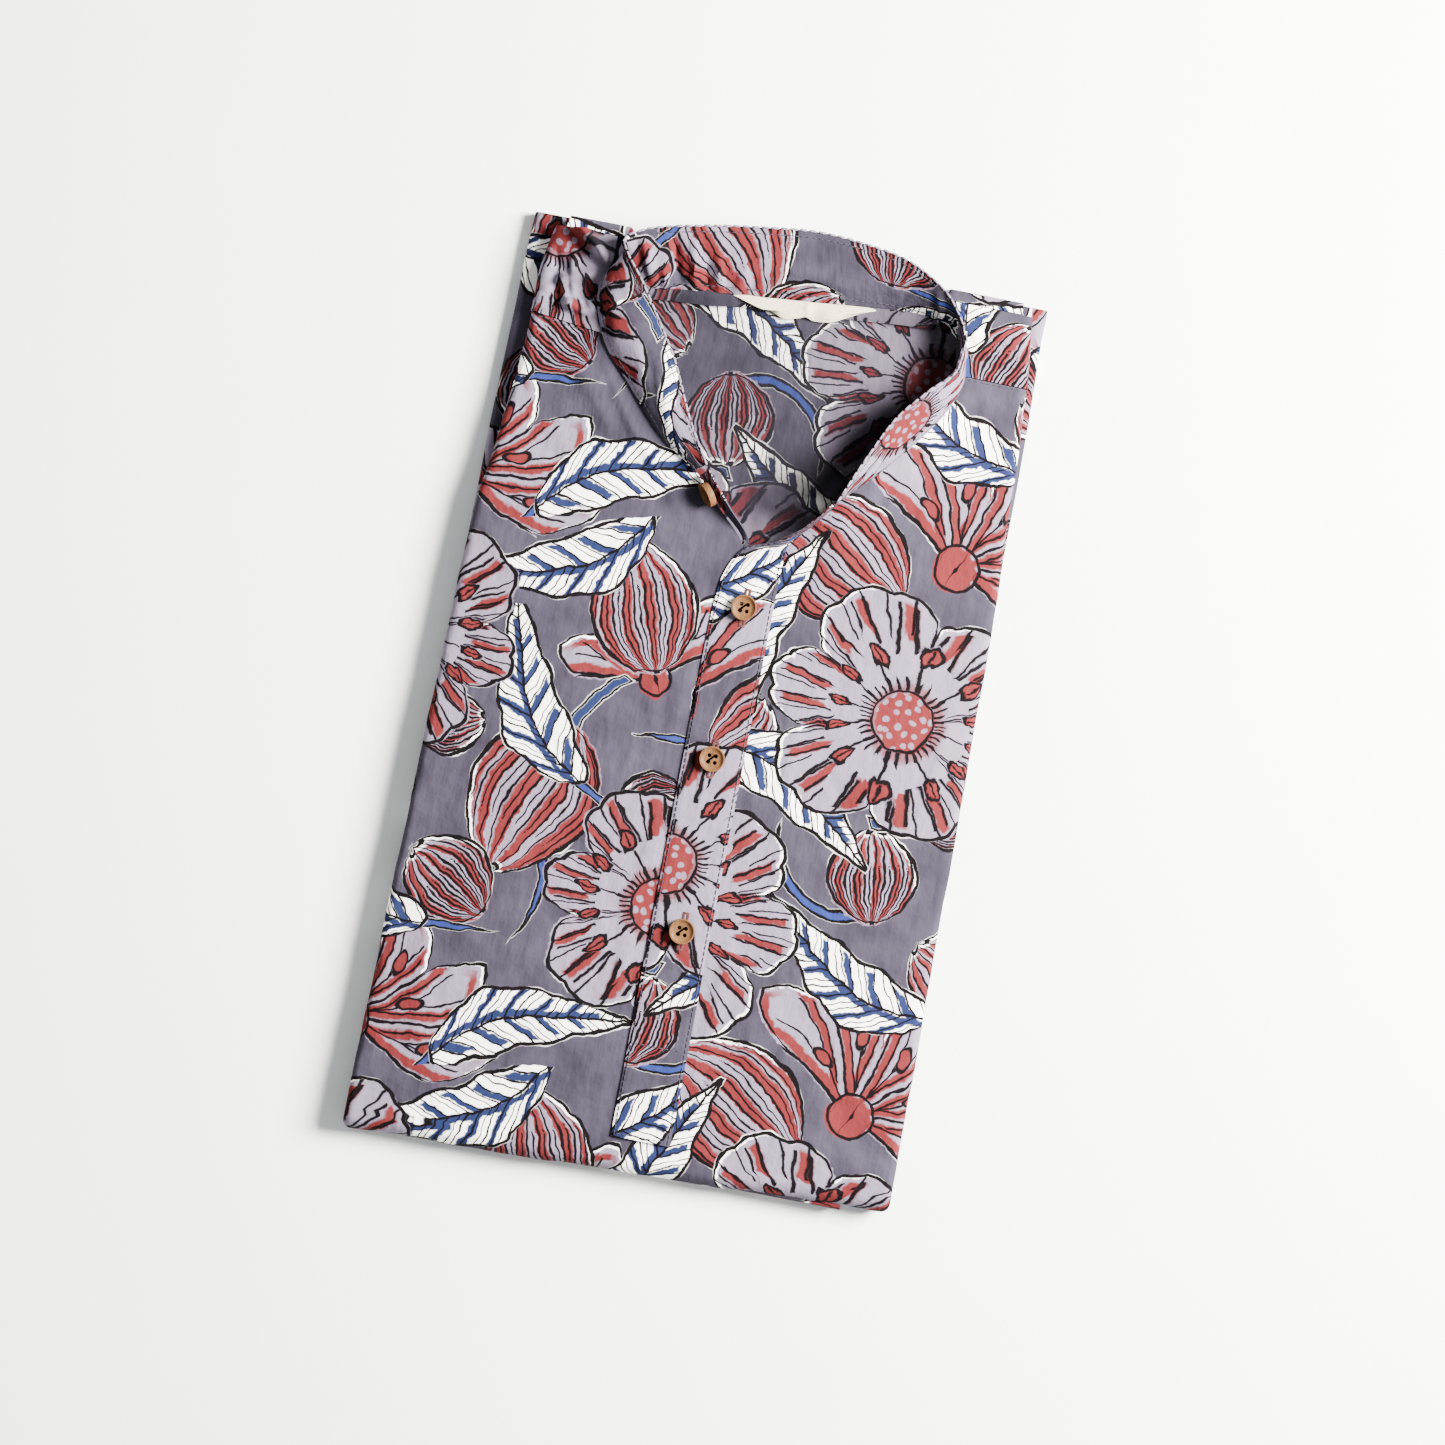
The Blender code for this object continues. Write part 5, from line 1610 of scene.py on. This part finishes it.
@dataclass(frozen=True)
class Stitching:
    """Rows of small sewn stitches, each a low rounded bar."""

    stitch: float = 2.1
    gap: float = 0.7
    radius: float = 0.17

    def lay_rows(self, name: str, paths: Sequence[tuple[Array, Array]], tailor: Tailor,
                 thread: bpy.types.Material) -> bpy.types.Object:
        """Lays stitches along paths.

        Args:
            name: the piece's name.
            paths: places in plan millimetres and their normals, for each row.
            tailor: who knows the frame.
            thread: the stitches' finish.

        Returns:
            All the stitches as one piece.
        """
        pattern = thread_bar(name, self.radius, self.stitch)
        parts = []
        for places, normals in paths:
            lengths = np.concatenate([[0], np.cumsum(np.linalg.norm(np.diff(places, axis=0), axis=1))])
            for start in np.arange(self.gap, lengths[-1] - self.stitch, self.stitch + self.gap):
                spots = start + self.stitch * np.array([0.0, 0.5, 1.0])
                first, middle, last = (read_path(at, lengths, places) for at in spots)
                up = read_path(spots[1], lengths, normals)
                run = (last - first) / max(float(np.linalg.norm(last - first)), 1e-9)
                aside = np.cross(up, run)
                aside /= max(float(np.linalg.norm(aside)), 1e-9)
                turn = np.eye(4)
                turn[:3, 0], turn[:3, 1], turn[:3, 2] = run, 1.3 * aside, np.cross(run, aside)
                turn[:3, 3] = tailor.world(middle + 0.15 * self.radius * up)
                stitch = pattern.copy()
                stitch.data = pattern.data.copy()
                bpy.context.collection.objects.link(stitch)
                stitch.data.transform(Matrix(turn.tolist()))
                parts.append(stitch)
        bpy.data.objects.remove(pattern, do_unlink=True)
        piece = joined(name, parts, thread)
        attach(piece, ROOT)
        log.info("%s: %d faces", name, len(piece.data.polygons))
        return piece


@dataclass(frozen=True)
class Studio:
    """Pale floor, soft light from the upper right, and a camera straight above.

    The frame's width and centre are in plan millimetres, lengths in metres, the lamp's power in watts.
    """

    frame_width: float = 651.7
    camera_height: float = 1.9
    roll: float = 11.0
    centre: tuple[float, float] = (9.28, -1.64)
    focus_height: float = 0.015
    floor_gap: float = 0.0004
    lamp_place: tuple[float, float, float] = (0.99, 0.43, 0.856)
    lamp_size: float = 0.6
    lamp_power: float = 241.0
    sky: float = 0.65

    def build(self, tailor: Tailor) -> None:
        """Sets the floor, lights, world and camera."""
        x, y, _ = tailor.world(np.array([self.centre[0], self.centre[1], 0.0]))
        bpy.ops.object.select_all(action="DESELECT")
        bpy.ops.mesh.primitive_plane_add(size=6.0, location=(0, 0, -self.floor_gap))
        floor = bpy.context.object
        floor.name = "floor"
        made, graph = new_finish("pale_floor")
        place = graph.scaled(graph.node("TexCoord", {}, {}, "Object"), 1000.0)
        speckle = graph.noise(place, 1.5, 3.0) * 0.6 + graph.noise(place, 60.0, 2.0) * 0.4
        colour = graph.tint(speckle.over(0.5, 0.4), (0.905, 0.922, 0.902, 1.0), (0.95, 0.965, 0.945, 1.0))
        graph.cover(colour, 0.95, 0.1)
        floor.data.materials.append(made)
        world = bpy.data.worlds.new("studio")
        world.use_nodes = True
        world.node_tree.nodes["Background"].inputs["Color"].default_value = (0.96, 0.98, 1.0, 1.0)
        world.node_tree.nodes["Background"].inputs["Strength"].default_value = self.sky
        bpy.context.scene.world = world
        data = bpy.data.lights.new("key", "AREA")
        data.size = self.lamp_size
        data.energy = self.lamp_power
        data.color = (1.0, 0.985, 0.96)
        lamp = bpy.data.objects.new("key", data)
        bpy.context.collection.objects.link(lamp)
        lamp.location = self.lamp_place
        lamp.rotation_euler = (-Vector(self.lamp_place)).to_track_quat("-Z", "Y").to_euler()
        data = bpy.data.cameras.new("camera")
        data.sensor_width = 36.0
        distance = self.camera_height - self.focus_height
        data.lens = data.sensor_width * distance / (self.frame_width * MM)
        camera = bpy.data.objects.new("camera", data)
        bpy.context.collection.objects.link(camera)
        camera.location = (x, y, self.camera_height)
        camera.rotation_euler = (0.0, 0.0, math.radians(self.roll))
        bpy.context.scene.camera = camera


def seam_rows(bundle: Bundle, front: FrontBody, neck: Neck) -> list[tuple[Array, Array]]:
    """Paths of the topstitching: placket edges and box, collar band, yoke and shoulder seams, and the hem."""
    paths = []
    up = np.array([0.0, 0.0, 1.0])
    over, band = neck.overlap(), neck.band()
    edge, seam_inset = 1.4 / over.width, 1.2
    for share in (edge, 1 - edge):
        paths.append(over.edge_path(share))
    for share in (0.08, 0.93):
        paths.append(band.edge_path(share))
    for y in (-192.4, -151.0):
        x = np.linspace(-3.4, 21.0, 20)
        z = bundle.stack + bundle.relief(x, np.full(20, y)) + 1.1 + 0.37
        paths.append((np.stack([x, np.full(20, y), z], axis=1), np.tile(up, (20, 1))))
    for x0, x1 in ((-108.0, -84.0), (88.0, 113.0)):
        x = np.linspace(x0, x1, 24)
        y = bundle.front_seam(x) - seam_inset
        z = bundle.stack + front.rise(x, y)
        paths.append((np.stack([x, y, z], axis=1), np.tile(up, (24, 1))))
    x = np.linspace(74.0, 107.5, 24)
    y = np.full(24, bundle.shoulder_y + seam_inset)
    paths.append((np.stack([x, y, bundle.stack + bundle.relief(x, y)], axis=1), np.tile(up, (24, 1))))
    return paths


LEFT_YOKE_FOLDS = (
    Crease(-105, 210, -78, 189, 3.0, 9.0, 1.5), Crease(-108, 190, -90, 180, 2.4, -1.2),
    Crease(-106, 176, -84, 186, 2.0, 2.4, 1.0), Crease(-104, 168, -86, 176, 1.8, -1.8, 1.0),
    Crease(-97, 196, -92, 172, 1.8, 2.2, -1.0), Crease(-109, 200, -102, 184, 2.0, -1.4, 0.6),
    Crease(-101, 186, -92, 166, 3.6, 2.6, -1.0), Crease(-90, 184, -86, 168, 3.0, -1.6),
    Crease(-104, 186, -100, 168, 3.0, -1.6), Crease(-112, 192, -98, 197, 2.4, 1.0),
    Crease(-88, 176, -82, 168, 2.0, 1.6), Crease(-100, 172, -82, 168, 2.4, 3.0, -1.0),
)
# Painted shade in the pockets of the crumpled left shoulder, beside the collar band
LEFT_YOKE_HOLLOWS = (
    Crease(-94, 205, -77, 194, 3.4, 2.0), Crease(-84, 196, -78, 184, 4.0, 1.6),
    Crease(-100, 184, -83, 177, 5.6, 1.7), Crease(-108, 206, -112, 186, 2.4, 0.8),
    Crease(-90, 170, -84, 166, 3.0, 0.8),
)
RIGHT_YOKE_FOLDS = (
    Crease(88, 200, 110, 187, 4.0, 0.9, 1.0), Crease(88, 181, 106, 176, 3.0, -0.7),
    Crease(78, 196, 90, 190, 2.4, 0.7), Crease(86, 192, 100, 183, 2.6, 0.8, -1.0),
)


def main() -> None:
    """Builds the tunic's pieces in order, then the studio."""
    logging.basicConfig(level=logging.INFO, format="%(name)s: %(message)s")
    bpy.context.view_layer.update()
    bundle = Bundle()
    buttons = Buttons(bundle)
    low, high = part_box("button_1")
    shift = tuple((low[k] + high[k]) / 2 / MM - buttons.sewn[0][k] for k in range(2))
    tailor = Tailor(shift, BlockPrint().finish())
    front = FrontBody(bundle)
    neck = Neck(bundle)
    FoldedLayers(bundle).build(tailor)
    BackBody(bundle).build(tailor)
    front.build(tailor)
    Yoke(bundle, False, LEFT_YOKE_FOLDS, LEFT_YOKE_HOLLOWS, (10.0, 70.0, 100.0)).build(tailor)
    Yoke(bundle, True, RIGHT_YOKE_FOLDS, (), (120.0, 40.0, 80.0)).build(tailor)
    neck.build(tailor, TAPE.finish())
    buttons.build(tailor, WOOD.finish(), PINK_THREAD.finish())
    Stitching().lay_rows("topstitching", seam_rows(bundle, front, neck), tailor, THREAD.finish())
    edge = neck.band().edge_path(1.0)
    Stitching(3.4, 0.9, 0.42).lay_rows("band_edge_cord", [edge], tailor, CORD.finish())
    Studio().build(tailor)


if __name__ == "__main__":
    main()
